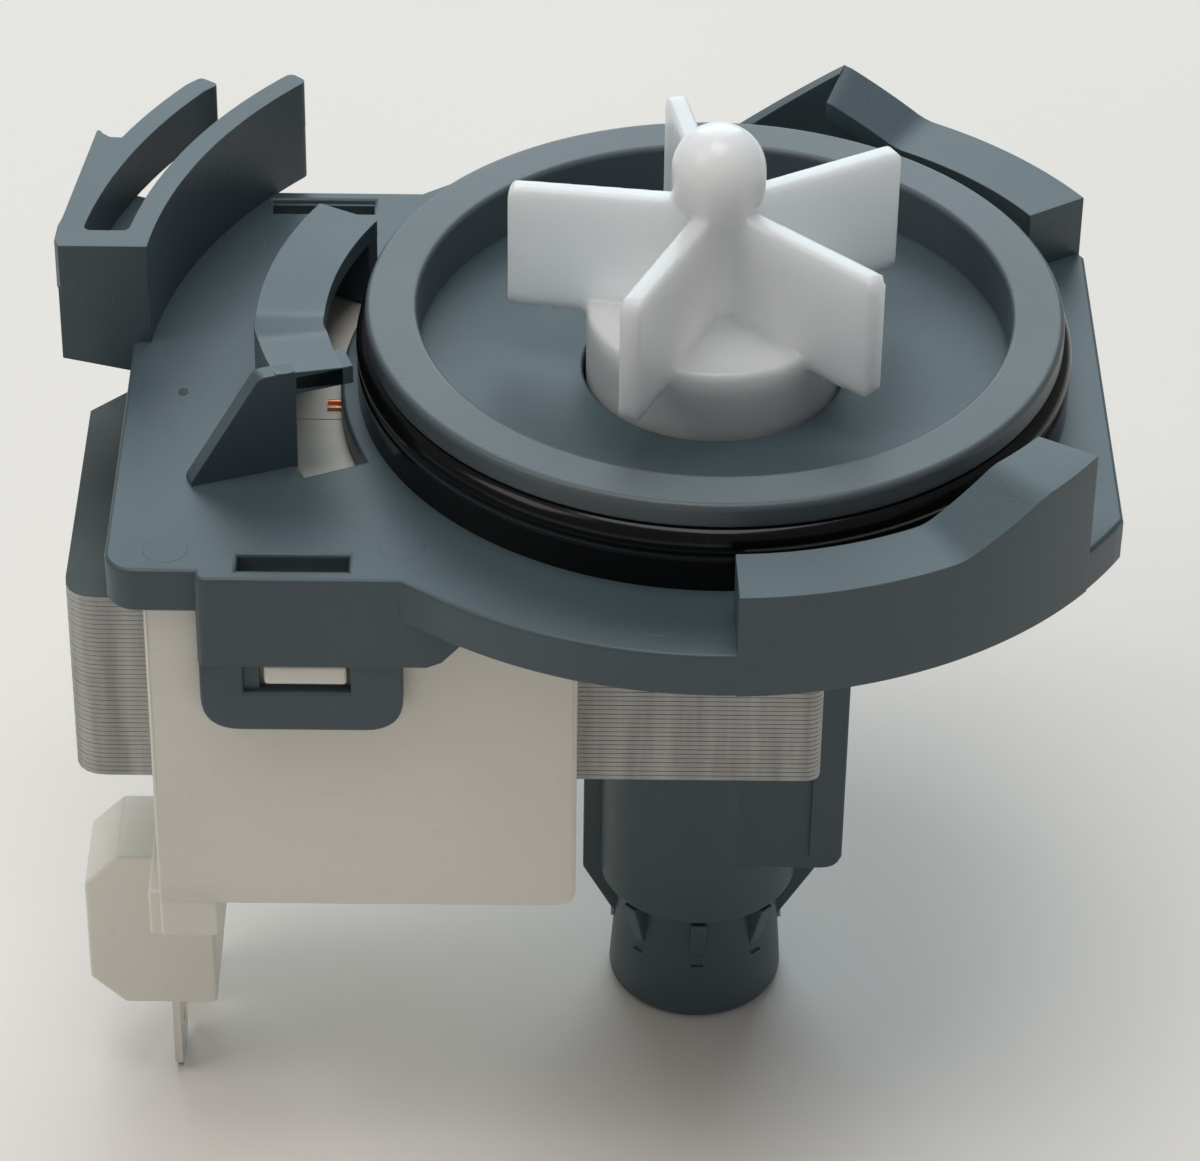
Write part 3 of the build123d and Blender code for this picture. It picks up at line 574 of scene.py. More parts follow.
def moulded_plastic(name, colour, rough=0.42, worn=1.35):
    """Filled moulded plastic with bluish streaks, a fine grain and paler worn edges."""
    n = Nodes(name)
    base = n.shades(n.noise(38.0, 4.0), colour, 0.94, 1.06)
    blue = (colour[0] * 1.1, colour[1] * 1.2, colour[2] * 1.3)
    base = n.patches(base, n.noise(70.0, 4.0, (1.0, 0.25, 1.0)), (0.45, 0.75), 0.30, blue)
    base = n.patches(base, n.noise(900.0, 2.0), (0.60, 0.75), 0.10, scaled(colour, 1.5))
    edge = n.add("Attribute")
    edge.attribute_name = "worn"
    share = n.spread(edge.outputs["Fac"], 0.0, n.spread(n.noise(240.0, 3.0), 0.0, 0.75))
    base = n.mix(share, base, scaled(colour, worn))
    heights = [(n.noise(2600.0, 2.0), 0.00002), (n.noise(90.0, 2.0), 0.00004)]
    return n.finish(base, (n.noise(60.0, 3.0), rough - 0.06, rough + 0.08), heights)


def cover_plastic(name, colour):
    """Off-white thermoplastic of the coil cover, slightly glossy and a little uneven."""
    n = Nodes(name)
    base = n.shades(n.noise(30.0, 5.0), colour, 0.96, 1.03)
    base = n.patches(base, n.noise(700.0, 3.0), (0.62, 0.80), 0.18, scaled(colour, 0.72))
    heights = [(n.noise(1900.0, 2.0), 0.000015), (n.noise(70.0, 2.0), 0.00005)]
    return n.finish(
        base, (n.noise(80.0, 3.0), 0.34, 0.50), heights,
        Subsurface_Weight=0.08, Subsurface_Scale=1.0, Subsurface_Radius=(0.002, 0.0016, 0.0012),
    )


def impeller_plastic(name, colour):
    """Milky white plastic that light enters."""
    n = Nodes(name)
    base = n.shades(n.noise(55.0, 3.0), colour, 0.97, 1.02)
    heights = [(n.noise(1500.0, 2.0), 0.000008), (n.noise(140.0, 2.0), 0.00003)]
    return n.finish(
        base, (n.noise(120.0, 3.0), 0.20, 0.30), heights, Specular_IOR_Level=0.45,
        Subsurface_Weight=0.8, Subsurface_Scale=1.0, Subsurface_Radius=(0.009, 0.0085, 0.008),
    )


def seal_rubber(name, colour):
    """Black rubber with a wet sheen and fine moulding dust."""
    n = Nodes(name)
    base = n.patches(colour, n.noise(1400.0, 3.0), (0.64, 0.78), 0.04, (0.16, 0.17, 0.18))
    heights = [(n.noise(900.0, 2.0), 0.000006)]
    return n.finish(base, (n.noise(300.0, 3.0), 0.12, 0.20), heights, Specular_IOR_Level=0.25)


def sheet_edge(name, colour):
    """Cut edges of the core's sheets: grey steel with drawn vertical marks and faint rust."""
    n = Nodes(name)
    drawn = n.noise(420.0, 3.0, (1.0, 1.0, 0.08))
    base = n.shades(drawn, colour, 0.78, 1.18)
    base = n.patches(base, n.noise(160.0, 4.0), (0.58, 0.74), 0.22, (0.20, 0.15, 0.10))
    return n.finish(base, (drawn, 0.38, 0.58), [(drawn, 0.00003)], Metallic=0.55)


def sheet_face(name, colour):
    """Coated face of the top and bottom sheets."""
    n = Nodes(name)
    base = n.shades(n.noise(75.0, 5.0), colour, 0.80, 1.20)
    heights = [(n.noise(1100.0, 3.0), 0.00001), (n.noise(50.0, 2.0), 0.00004)]
    return n.finish(base, (n.noise(140.0, 3.0), 0.45, 0.62), heights, Metallic=0.25)


def metal(name, colour, rough, marks):
    """Plain metal with fine lengthwise marks."""
    n = Nodes(name)
    lines = n.noise(marks, 3.0, (1.0, 1.0, 0.06))
    base = n.shades(lines, colour, 0.88, 1.06)
    return n.finish(base, (lines, rough, rough + 0.16), [(lines, 0.00001)], Metallic=1.0)


def mineral(name, colour, rough):
    """Sintered or pressed material with a grain."""
    n = Nodes(name)
    base = n.shades(n.noise(1200.0, 4.0), colour, 0.75, 1.2)
    return n.finish(base, (n.noise(400.0, 2.0), rough, rough + 0.15), [(n.noise(1500.0, 3.0), 0.00001)])


def floor_material(name, colour):
    """Pale matt table."""
    n = Nodes(name)
    base = n.shades(n.noise(6.0, 3.0), colour, 0.985, 1.015)
    n.put(n.shader, {"Base Color": base, "Roughness": 0.75})
    n.bump([(n.noise(500.0, 2.0), 0.00002)])
    return n.material


def colours():
    """Colour settings of the scene."""
    return bpy.context.scene.pump_colours


def sizes():
    """Size settings of the scene."""
    return bpy.context.scene.pump_sizes


# Flange


def plate_outline(tab_y=TAB_Y, block_corner=BLOCK_CORNER):
    """Outline of the flange, anticlockwise from the straight right edge."""
    right = math.degrees(math.acos(RIGHT_X / PLATE_R))
    out_y = math.sqrt(PLATE_R ** 2 - BEVEL_OUT_X ** 2)
    out_a = math.degrees(math.atan2(out_y, BEVEL_OUT_X))
    left = TAB_X + TAB_CORNER
    rear = [(BEVEL_IN_X, BLOCK_Y)]
    if block_corner:
        rear += arc(block_corner, 90, 180, (BLOCK_X[0] + block_corner, BLOCK_Y - block_corner), 15)
    else:
        rear.append((BLOCK_X[0], BLOCK_Y))
    rear.append((BLOCK_X[0], tab_y))
    rear += arc(TAB_CORNER, 90, 180, (left, tab_y - TAB_CORNER), 15)
    front = [(x, -y) for x, y in reversed(rear)]
    return arc(PLATE_R, right, out_a) + rear + front + arc(PLATE_R, -out_a, -right)


def arc_slot(a0, a1, r0, r1):
    """Closed outline of an arc slot."""
    return arc(r1, a0, a1) + arc(r0, a1, a0)


def flange_plate_shell(bm, rounding):
    """Plate with slots, its skirt and the collar wall."""
    outline = plate_outline()
    holes = [arc(COLLAR_R[0], 0, 357.5, size=2.5)]
    for side in (-1, 1):
        holes.append(rectangle(SLOT_X, [side * y for y in SLOT_Y]))
    ends = (LEDGE_ARC[0] + LEDGE_ARC[1], sum(LEDGE_ARC) + 2.5, sum(LEDGE_ARC))
    for i, end in enumerate(ends):
        a0 = LEDGE_START + i * LEDGE_STEP
        holes.append(arc_slot(a0 + END_WALL_ARC, a0 + end, SLOT_IN, WALL_IN))
    add_mesh(bm, flat_plate([outline] + holes, PLATE_BOTTOM, PLATE_TOP, rounding))
    outer = offset_outline(outline, FLUSH)
    inner = offset_outline(plate_outline(TAB_Y + COVER_ROOM, 0), SKIRT_T)
    add_mesh(bm, flat_plate([outer, inner], SKIRT_BOTTOM, PLATE_TOP - 0.7, 0.3))


def ramp_share(angle, a0):
    """How far up the ramp an angle is, from 0 to 1, with both ends eased."""
    near = [(angle + d - a0 - LEDGE_ARC[0]) / LEDGE_ARC[1] for d in (-1.0, 0.0, 1.0)]
    return sum(min(1.0, max(0.0, share)) for share in near) / len(near)


def track_rise(v, a0, short):
    """Rise of a ledge's track over its low end at a vertex; the outer edge ends higher."""
    angle = math.degrees(math.atan2(v.co.y, v.co.x)) % 360
    ramp = ramp_share(angle, a0)
    late = (angle - a0 - LEDGE_ARC[0] - LEDGE_ARC[1]) / LEDGE_ARC[2]
    climb = ramp if short else min(1.0, max(0.0, late))
    out = (math.hypot(v.co.x, v.co.y) - LEDGE_IN) / (PLATE_R - LEDGE_IN)
    return (LEDGE_HIGH - LEDGE_LOW) * ramp + (LEDGE_END - LEDGE_HIGH) * climb * out


def ledge_shells(bm):
    """Three ledges with their walls, the left one's rib and the rear one's tail."""
    out = PLATE_R + FLUSH
    top = LEDGE_LOW
    under = top - LEDGE_T
    for i in range(3):
        a0 = LEDGE_START + i * LEDGE_STEP
        ramp_end = a0 + LEDGE_ARC[0] + LEDGE_ARC[1]
        end = ramp_end if i == 0 else ramp_end + LEDGE_ARC[2]
        foot = PLATE_BOTTOM + 0.5 if i == 1 else SKIRT_BOTTOM + 0.05
        section = [
            (LEDGE_IN, under), (LEDGE_IN, top), (WALL_IN, top), (out, top),
            (out, foot), (WALL_IN, foot), (WALL_IN, under),
        ]
        for v in sweep(bm, section, a0, end, 1.0):
            if v.co.z > foot + 1.0:
                v.co.z += track_rise(v, a0, i == 0)
        low = top - 0.1
        wall = [
            (LEDGE_IN + LAP, PLATE_TOP - 0.5), (LEDGE_IN + LAP, low),
            (WALL_IN + 0.5, low), (WALL_IN + 0.5, PLATE_TOP - 0.5),
        ]
        sweep(bm, wall, a0 + 0.03, a0 + END_WALL_ARC)
        if i == 0:
            tail = [(WALL_IN + LAP, foot), (WALL_IN + LAP, 0), (out - 0.01, 0), (out - 0.01, foot)]
            for v in sweep(bm, tail, ramp_end - 0.05, ramp_end + TAIL_ARC):
                if v.co.z > foot + 1.0:
                    angle = math.degrees(math.atan2(v.co.y, v.co.x))
                    share = max(0.0, angle - ramp_end) / TAIL_ARC
                    v.co.z = LEDGE_END - 0.03 + (TAIL_Z - LEDGE_END) * share
        if i == 1:
            low = LEDGE_HIGH - LEDGE_T
            pad = [(PAD_IN, low), (PAD_IN, LEDGE_HIGH), (WALL_IN, LEDGE_HIGH), (WALL_IN, low)]
            sweep(bm, pad, end - PAD_ARC, end)
            rib_shell(bm, end)


def rib_shell(bm, end):
    """Upright rib at the end of the left ledge."""
    outer = PLATE_R + RIB_REACH
    foot = PLATE_TOP - 0.5
    head = LEDGE_END - 0.1
    points = eased([
        (WALL_IN, foot, 0), (outer, foot, 0), (outer, PLATE_TOP + 0.4, 0.5),
        (PLATE_R + RIB_TOP, head, 1.2), (WALL_IN, head, 0),
    ])
    width = PLATE_R * math.radians(RIB_ARC)
    prism(bm, points, -width / 2, width / 2 - LAP, standing(end - RIB_ARC / 2))


def latch_outline():
    """Top outline of the finger latch: two arms with rounded tips and the barb's notch."""
    start = left_angle(ARM_R[0], LATCH_Y)
    slot = [left_angle(r, BLOCK_END_Y) for r in ARM_R[1:3]]
    near = TIP_RUN
    points = arc(ARM_R[0], start, INNER_TIP + near)
    points += [corner(r, INNER_TIP, TIP_ROUND) for r in ARM_R[:2]]
    points += arc(ARM_R[1], INNER_TIP + near, slot[0] - near)
    points += [corner(r, a, TIP_ROUND) for r, a in zip(ARM_R[1:3], slot)]
    points += arc(ARM_R[2], slot[1] - near, OUTER_TIP + near)
    points += [corner(r - TIP_LEAN, OUTER_TIP, rounding) for r, rounding in zip(ARM_R[2:], OUTER_TIP_ROUND)]
    points += arc(ARM_R[3], OUTER_TIP + near, BARB_ANGLE)
    return eased(points + [*BARB, (LATCH_BLOCK_X[0] + 0.2, LATCH_Y)])


def latch_shells(bm):
    """Finger latch: forked top, the inner arm's wall, block and web."""
    prism(bm, latch_outline(), LATCH_LOW, LATCH_TOP)
    inset = (ARM_R[0] + LAP, ARM_R[1] - LAP)
    start = [left_angle(r, LATCH_Y + 0.05) for r in (*inset, ARM_R[3])]
    wall = arc(inset[0], start[0], INNER_TIP + TIP_RUN)
    wall += [corner(r, INNER_TIP + LAP, TIP_ROUND) for r in inset]
    wall += arc(inset[1], INNER_TIP + TIP_RUN, start[1])
    prism(bm, eased(wall), PLATE_TOP - 0.15, LATCH_LOW + 0.5)
    reach = (ARM_R[0] + 0.3, ARM_R[3] - 0.3)
    web = [(r, LATCH_LOW - WEB_T) for r in reach] + [(r, LATCH_LOW + LAP) for r in reversed(reach)]
    sweep(bm, web, start[2] - 1.2, WEB_END)
    side = [
        (LATCH_BLOCK_X[0] + LAP, LATCH_BLOCK_Z[0]), (LATCH_BLOCK_X[1] - LAP, LATCH_BLOCK_Z[1]),
        (LATCH_BLOCK_X[1] - LAP, LATCH_LOW + 0.5), (LATCH_BLOCK_X[0] + LAP, LATCH_LOW + 0.5),
    ]
    prism(bm, side, -BLOCK_END_Y, -LATCH_Y - LAP, UPRIGHT_XZ)


def tongue_shells(bm, side, window_plates):
    """Block, wedge and window tongue on one side."""
    out = BLOCK_Y + FLUSH
    ys = sorted((side * BLOCK_IN_Y, side * out))
    x0, x1 = BLOCK_X
    plan = [(x1, BLOCK_IN_Y), (x1, out), (x0, out, BLOCK_CORNER), (x0, BLOCK_IN_Y)]
    prism(bm, [(x, side * y) for x, y in eased(plan)], BLOCK_BOTTOM, PLATE_TOP - 0.4)
    wedge = [(x1 + WEDGE[0][0], SKIRT_BOTTOM + 1)]
    wedge += [(x1 + x, BLOCK_BOTTOM + z) for x, z in WEDGE]
    wedge.append((x1 + WEDGE[-1][0], SKIRT_BOTTOM + 1))
    prism(bm, wedge, -ys[1] + LAP, -ys[0] - LAP, UPRIGHT_XZ)
    y0 = BLOCK_IN_Y
    y1 = BLOCK_Y - TONGUE_BACK
    outline = eased([
        (TONGUE_X[0], BLOCK_BOTTOM + 1.5), (TONGUE_X[0], TONGUE_BOTTOM, TONGUE_CORNER),
        (TONGUE_X[1], TONGUE_BOTTOM, TONGUE_CORNER), (TONGUE_X[1], BLOCK_BOTTOM + 1.5),
    ], 8)
    window = rectangle(WINDOW_X, WINDOW_Z)
    web = sorted((-side * (BLOCK_IN_Y + LAP), -side * (y1 - WEB_BACK)))
    strip = rectangle((WINDOW_X[0] - 0.5, WINDOW_X[0] + WEB_W), (WINDOW_Z[0] - 0.5, WINDOW_Z[1] + 0.2))
    prism(bm, strip, web[0], web[1], UPRIGHT_XZ)
    span = (y0, y1) if side < 0 else (-y1, -y0)
    window_plates.append(flat_plate([outline, window], span[0], span[1], 0.3, UPRIGHT_XZ))


def ejector_marks(bm, places, z, slope=0.0):
    """Faint raised discs left by ejector pins, on a face that rises outwards by a slope."""
    for x, y in places:
        lie = Matrix.Rotation(math.atan2(y, x), 4, "Z") @ Matrix.Rotation(-slope, 4, "Y")
        prism(bm, arc(MARK_R, 0, 350, size=10), -MARK_SINK, MARK_RISE, Matrix.Translation((x, y, z)) @ lie)


class PUMP_OT_flange(bpy.types.Operator):
    """Build the flange plate with its skirt, ledges, tongues and finger latch"""

    bl_idname = "pump.flange"
    bl_label = "Flange"

    def execute(self, context):
        rounding = sizes().edge_round / MM
        bm = bmesh.new()
        collar = [(r, PLATE_BOTTOM + 0.1) for r in COLLAR_R]
        collar += [(r, COLLAR_TOP, 0.3) for r in reversed(COLLAR_R)]
        turned(bm, eased(collar, 3))
        ledge_shells(bm)
        latch_shells(bm)
        plates = []
        for side in (-1, 1):
            tongue_shells(bm, side, plates)
        ejector_marks(bm, PLATE_MARKS, PLATE_TOP)
        soften(bm, rounding * 0.8)
        for mesh in plates:
            add_mesh(bm, mesh)
        flange_plate_shell(bm, rounding)
        grey = moulded_plastic("housing plastic", colours().housing)
        finish_piece("flange_body", bm, [grey], "housing", ["flange_plate"])
        speck = bmesh.new()
        spot = [
            (GATE_MARK[0] + GATE_MARK_R[0] * x, GATE_MARK[1] + GATE_MARK_R[1] * y)
            for x, y in arc(1.0, 0, 330, size=30)
        ]
        prism(speck, spot, PLATE_TOP - MARK_SINK, PLATE_TOP + 0.03)
        dark = moulded_plastic("gate mark", scaled(colours().housing, 0.10))
        finish_piece("gate_mark", speck, [dark], "housing")
        return {"FINISHED"}


class PUMP_OT_collar_ring(bpy.types.Operator):
    """Build the collar ring, the O-ring below it and a thin black sleeve that paints the shade on the collar
    wall
    """

    bl_idname = "pump.collar_ring"
    bl_label = "Collar ring and O-ring"

    def execute(self, context):
        bm = bmesh.new()
        r = sizes().ring_round / MM
        profile = eased([
            (RING_IN, FLOOR_RIM_Z), (RING_SKIRT, FLOOR_RIM_Z), (RING_SKIRT, -RING_T, 0.3),
            (RING_OUT, -RING_T, 0.3), (RING_OUT, 0, r), (RING_IN, 0, r * 0.8),
        ], 6)
        turned(bm, profile, RING_STEPS)
        plastic = moulded_plastic("ring plastic", colours().ring, rough=0.40, worn=1.12)
        finish_piece("collar_ring_body", bm, [plastic], "housing", ["collar_ring"])
        lo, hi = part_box("o_ring")
        section = (hi.z - lo.z) / 2 / MM
        centre_r = hi.x / MM - section
        centre_z = (hi.z + lo.z) / 2 / MM
        seal = bmesh.new()
        turned(seal, arc(section, 0, 345, (centre_r, centre_z), 15), RING_STEPS)
        # Black sleeve over the collar wall: painted shade under the O-ring
        turned(seal, [(COLLAR_R[1] + r, z) for r, z in SEAL_SHADE_SLEEVE], RING_STEPS)
        black = seal_rubber("seal rubber", colours().rubber)
        finish_piece("o_ring_body", seal, [black], "housing", ["o_ring"])
        return {"FINISHED"}


# Rotor can


def can_profile():
    """Profile of the floor disc, recess, tube and cup, from axis to axis."""
    dish = FLOOR_RIM_Z - FLOOR_DISH
    shoulder = RECESS_Z - RECESS_T
    return eased([
        (0, CUP_FLOOR), (CUP_IN, CUP_FLOOR), (CUP_IN, CAN_SHOULDER),
        (CAN_IN, CAN_SHOULDER + 1.2), (CAN_IN, RECESS_Z), (RECESS_R, RECESS_Z),
        (RECESS_R, dish, 0.3), (DISH_IN_R, dish), (DISH_OUT_R, FLOOR_RIM_Z, 0.5),
        (DISC_R, FLOOR_RIM_Z), (DISC_R, FLOOR_RIM_Z - DISC_T), (DISH_OUT_R, FLOOR_RIM_Z - DISC_T),
        (DISH_IN_R, dish - DISC_T), (DISH_IN_R, shoulder, 0.5), (CAN_R, shoulder, 0.6),
        (CAN_R, CAN_SHOULDER, 0.5),
        (CUP_R, CUP_NECK, 0.4), (CUP_R, CUP_BOTTOM, 0.9), (0, CUP_BOTTOM),
    ], 4)


def can_side_parts(bm):
    """Gussets, stop arm with its foot, and the ribs over the cup's shoulder."""
    shoulder = RECESS_Z - 1.0
    for x in GUSSET_X:
        side = 1 if x > 0 else -1
        points = [
            (side * GUSSET_IN[0], shoulder), (x, shoulder), (x, CAN_SHOULDER - 0.4),
            (side * (CUP_R + 0.1), CUP_RIB_END), (side * GUSSET_IN[1], CUP_RIB_END),
            (side * GUSSET_IN[1], CAN_SHOULDER),
        ]
        prism(bm, points, -GUSSET_T / 2, GUSSET_T / 2, UPRIGHT_XZ)
    block(bm, ARM_X, ARM_Y, (ARM_END, FLOOR_RIM_Z - FLOOR_DISH - DISC_T / 2))
    inner = math.sqrt(CAN_R ** 2 - FOOT_Y[0] ** 2)
    foot = eased([
        (inner, FOOT_Z[1]), (ARM_X[0] + 1.5, FOOT_Z[1]), (ARM_X[1] + LAP, FOOT_Z[1] - 1.0),
        (ARM_X[1] + LAP, FOOT_Z[0], 2.0), (inner, FOOT_Z[0]),
    ])
    prism(bm, foot, -FOOT_Y[1], -FOOT_Y[0], UPRIGHT_XZ)
    for i in range(CUP_RIBS):
        rib = [
            (CUP_R - 1.2, CUP_RIB_END), (CUP_R + LAP, CUP_RIB_END),
            (CAN_R - 0.1, CAN_SHOULDER - 0.6), (CUP_R - 1.2, CAN_SHOULDER - 0.6),
        ]
        prism(bm, rib, -CUP_RIB_T / 2, CUP_RIB_T / 2, standing(-90 + i * 360 / CUP_RIBS))


class PUMP_OT_rotor_can(bpy.types.Operator):
    """Build the rotor can with its floor disc, ribs and stop arm"""

    bl_idname = "pump.rotor_can"
    bl_label = "Rotor can"

    def execute(self, context):
        bm = bmesh.new()
        can_side_parts(bm)
        run = DISH_OUT_R - DISH_IN_R
        share = (math.hypot(*FLOOR_MARKS[0]) - DISH_IN_R) / run
        height = FLOOR_RIM_Z - FLOOR_DISH * (1 - share)
        ejector_marks(bm, FLOOR_MARKS, height, math.atan2(FLOOR_DISH, run))
        soften(bm, sizes().edge_round / MM * 0.7)
        turned(bm, can_profile())
        pocket_cup(bm)
        grey = moulded_plastic("can plastic", colours().housing, rough=0.44)
        finish_piece("rotor_can_body", bm, [grey], "housing", ["rotor_can"])
        return {"FINISHED"}


def pocket_cup(bm):
    """Sinks the pockets between the ribs at the top of the cup."""
    for v in bm.verts:
        r = math.hypot(v.co.x, v.co.y)
        if abs(r - CUP_R) < 0.3 and CUP_RIB_END < v.co.z < CUP_NECK + 0.3:
            k = (r - CUP_POCKET) / r
            v.co.x *= k
            v.co.y *= k


# Core, coils and cover


def core_outline():
    """Outline of one sheet of the U core, with the poles round the can."""
    cut = CORE_Y - CORE_CHAMFER_Y
    open_a = math.degrees(math.asin(SLIT / BORE_R))
    points = eased([
        (CORE_X[0], CORE_CHAMFER_Y), (CORE_X[0], -CORE_Y, CORE_CORNER),
        (CORE_X[1], -CORE_Y, CORE_FRONT_CORNER), (CORE_X[1], -SLIT),
    ])
    points += arc(BORE_R, -open_a, -180 + open_a, size=4)
    inner = [(SHOE_X, SLIT), (SHOE_X, LEG_IN), (YOKE_X, LEG_IN)]
    points += [(x, -y) for x, y in inner] + inner[::-1]
    points += arc(BORE_R, 180 - open_a, open_a, size=4)
    points += eased([(CORE_X[1], SLIT), (CORE_X[1], CORE_Y, CORE_FRONT_CORNER), (CORE_X[0] + cut, CORE_Y)])
    return points


class PUMP_OT_core(bpy.types.Operator):
    """Build the laminated core from copies of one sheet"""

    bl_idname = "pump.core"
    bl_label = "Laminated core"

    def execute(self, context):
        count = sizes().sheets
        pitch = CORE_H / count
        gap = sizes().sheet_gap / MM
        outline = core_outline()
        bm = bmesh.new()
        prism(bm, outline, CORE_TOP - pitch + gap, CORE_TOP)
        rims = [e for e in bm.edges if abs(e.verts[0].co.z - e.verts[1].co.z) < 0.01]
        bmesh.ops.bevel(
            bm, geom=rims, offset=SHEET_BEVEL, segments=1, profile=0.5, affect="EDGES", material=-1
        )
        first = bm.verts[:] + bm.edges[:] + bm.faces[:]
        for i in range(1, count):
            copy = moved_verts(bmesh.ops.duplicate(bm, geom=first)["geom"])
            shift = SHEET_SHIFT * math.sin(i * SHEET_PHASE)
            bmesh.ops.translate(bm, vec=(shift, SHEET_SKEW * shift, -i * pitch), verts=copy)
        for face in bm.faces:
            face.normal_update()
            face.material_index = 1 if abs(face.normal.z) > 0.9 else 0
        edge = sheet_edge("sheet edge", colours().sheet_edge)
        top_face = sheet_face("sheet face", colours().sheet_face)
        finish_piece(
            "core_stack", bm, [edge, top_face], "housing", ["stator_core"], weighted=False
        )
        return {"FINISHED"}


def leg_rect(side, out, rise):
    """Rectangle (y0, y1, z0, z1) round one leg of the core."""
    ys = sorted((side * (LEG_IN - out), side * (CORE_Y + out)))
    return ys[0], ys[1], CORE_TOP - CORE_H - rise, CORE_TOP + rise


def leg_outline(side, out, rise, radius):
    """Rounded outline in Y and Z round one leg of the core."""
    y0, y1, z0, z1 = leg_rect(side, out, rise)
    return eased([(y0, z0, radius), (y1, z0, radius), (y1, z1, radius), (y0, z1, radius)], 4)


def head_bridge(bm, side):
    """Part of a coil head that reaches the joint between the two bobbins."""
    y0, y1, z0, z1 = leg_rect(side, *COIL_FLANGE)
    leg_end = y1 - 1.0 if side < 0 else y0 + 1.0
    ys = sorted((leg_end, HEAD_JOINT_Y + side * HEAD_JOINT))
    block(bm, (COIL_X[0] + 0.1, COIL_X[0] + COIL_HEAD - 0.1), ys, (z1 - HEAD_BRIDGE_T, z1 - LAP))


class PUMP_OT_bobbins(bpy.types.Operator):
    """Build the two bobbins"""

    bl_idname = "pump.bobbins"
    bl_label = "Bobbins"

    def execute(self, context):
        white = cover_plastic("bobbin plastic", colours().cover)
        for side, name in ((-1, "front"), (1, "rear")):
            hole = leg_outline(side, COIL_TUBE[0], COIL_TUBE[0], 0.0)
            tube = leg_outline(side, COIL_TUBE[1], COIL_TUBE[1], 0.6)
            flange = leg_outline(side, *COIL_FLANGE, 1.2)
            bm = bmesh.new()
            add_mesh(bm, flat_plate([tube, hole], COIL_X[0] + 0.1, COIL_X[1] - 0.1, 0.1, UPRIGHT_YZ))
            for x0, x1 in ((COIL_X[0], COIL_X[0] + COIL_HEAD), (COIL_X[1] - COIL_END_T, COIL_X[1])):
                add_mesh(bm, flat_plate([flange, hole], x0, x1, 0.25, UPRIGHT_YZ))
            head_bridge(bm, side)
            node = "bobbin_" + name
            finish_piece(node + "_body", bm, [white], "housing", [node])
        return {"FINISHED"}


class PUMP_OT_windings(bpy.types.Operator):
    """Wind the outer layer of each coil over a plain core"""

    bl_idname = "pump.windings"
    bl_label = "Windings"

    def execute(self, context):
        copper = metal("enamelled copper", colours().copper, 0.22, 900.0)
        wire = sizes().wire / MM
        x0 = COIL_X[0] + COIL_HEAD
        x1 = COIL_X[1] - COIL_END_T
        turns = int((x1 - x0) / wire)
        for side, name in ((-1, "front"), (1, "rear")):
            path = leg_outline(side, *(grow - wire / 2 for grow in COIL_OUT), COIL_CORNER[0])
            curve = bpy.data.curves.new("wire", "CURVE")
            curve.dimensions = "3D"
            curve.bevel_depth = wire / 2 * MM
            curve.bevel_resolution = 1
            total = turns * len(path)
            places = []
            for k in range(total):
                y, z = path[k % len(path)]
                x = x0 + wire / 2 + (x1 - x0 - wire) * k / total
                places.append((x * MM, y * MM, z * MM))
            add_spline(curve, places)
            mesh = curve_mesh(curve)
            mesh.transform(Matrix.Diagonal((1 / MM, 1 / MM, 1 / MM, 1)))
            bm = bmesh.new()
            add_mesh(bm, mesh)
            inner = leg_outline(side, *(grow - wire for grow in COIL_OUT), COIL_CORNER[1])
            prism(bm, inner, x0, x1, UPRIGHT_YZ)
            lead_y = LEAD_Y[(side + 1) // 2]
            lead = arc(wire / 2, 0, 330, (lead_y, CORE_TOP + COIL_FLANGE[1] + wire / 2), 30)
            prism(bm, lead, LEAD_X[0], LEAD_X[1], UPRIGHT_YZ)
            node = "winding_" + name
            finish_piece("coil_" + name, bm, [copper], "housing", [node], weighted=False)
        return {"FINISHED"}


def cover_shells(bm, plates):
    """Walls of the coil cover, drawn as plates with rounded corners."""
    low, high = COVER_Z
    x0, x1 = COVER_X
    r = COVER_CORNER
    wall = eased([(x0, low, 0.5), (x1, low, r), (x1, high, 0.3), (x0, high, 0.3)], 6)
    for side in (-1, 1):
        span = sorted((-side * COVER_OUT, -side * (COVER_OUT - COVER_WALL)))
        plates.append(flat_plate([wall], span[0], span[1], 0.35, UPRIGHT_XZ))
    floor_top = low + COVER_WALL
    trough = eased([
        (x0 + LAP, low + LAP), (x1 - LAP, low + LAP, r), (x1 - LAP, floor_top + 4),
        (x1 - COVER_WALL, floor_top + 4), (x1 - COVER_WALL, floor_top), (x0 + LAP, floor_top),
    ], 6)
    prism(bm, trough, -COVER_OUT + 0.3, COVER_OUT - 0.3, UPRIGHT_XZ)
    under = CORE_TOP - CORE_H - 0.3
    for xs in ((x0 + 0.03, x0 + COVER_WALL), (x1 - COVER_WALL, x1 - 0.03)):
        block(bm, xs, (-COVER_OUT + 0.5, COVER_OUT - 0.5), (low + 2.5, under))
        for side in (-1, 1):
            ys = sorted((side * (CORE_Y + 0.3), side * (COVER_OUT - 0.5)))
            block(bm, (xs[0] + 0.03, xs[1] - 0.03), ys, (under - 0.5, high - 0.1))


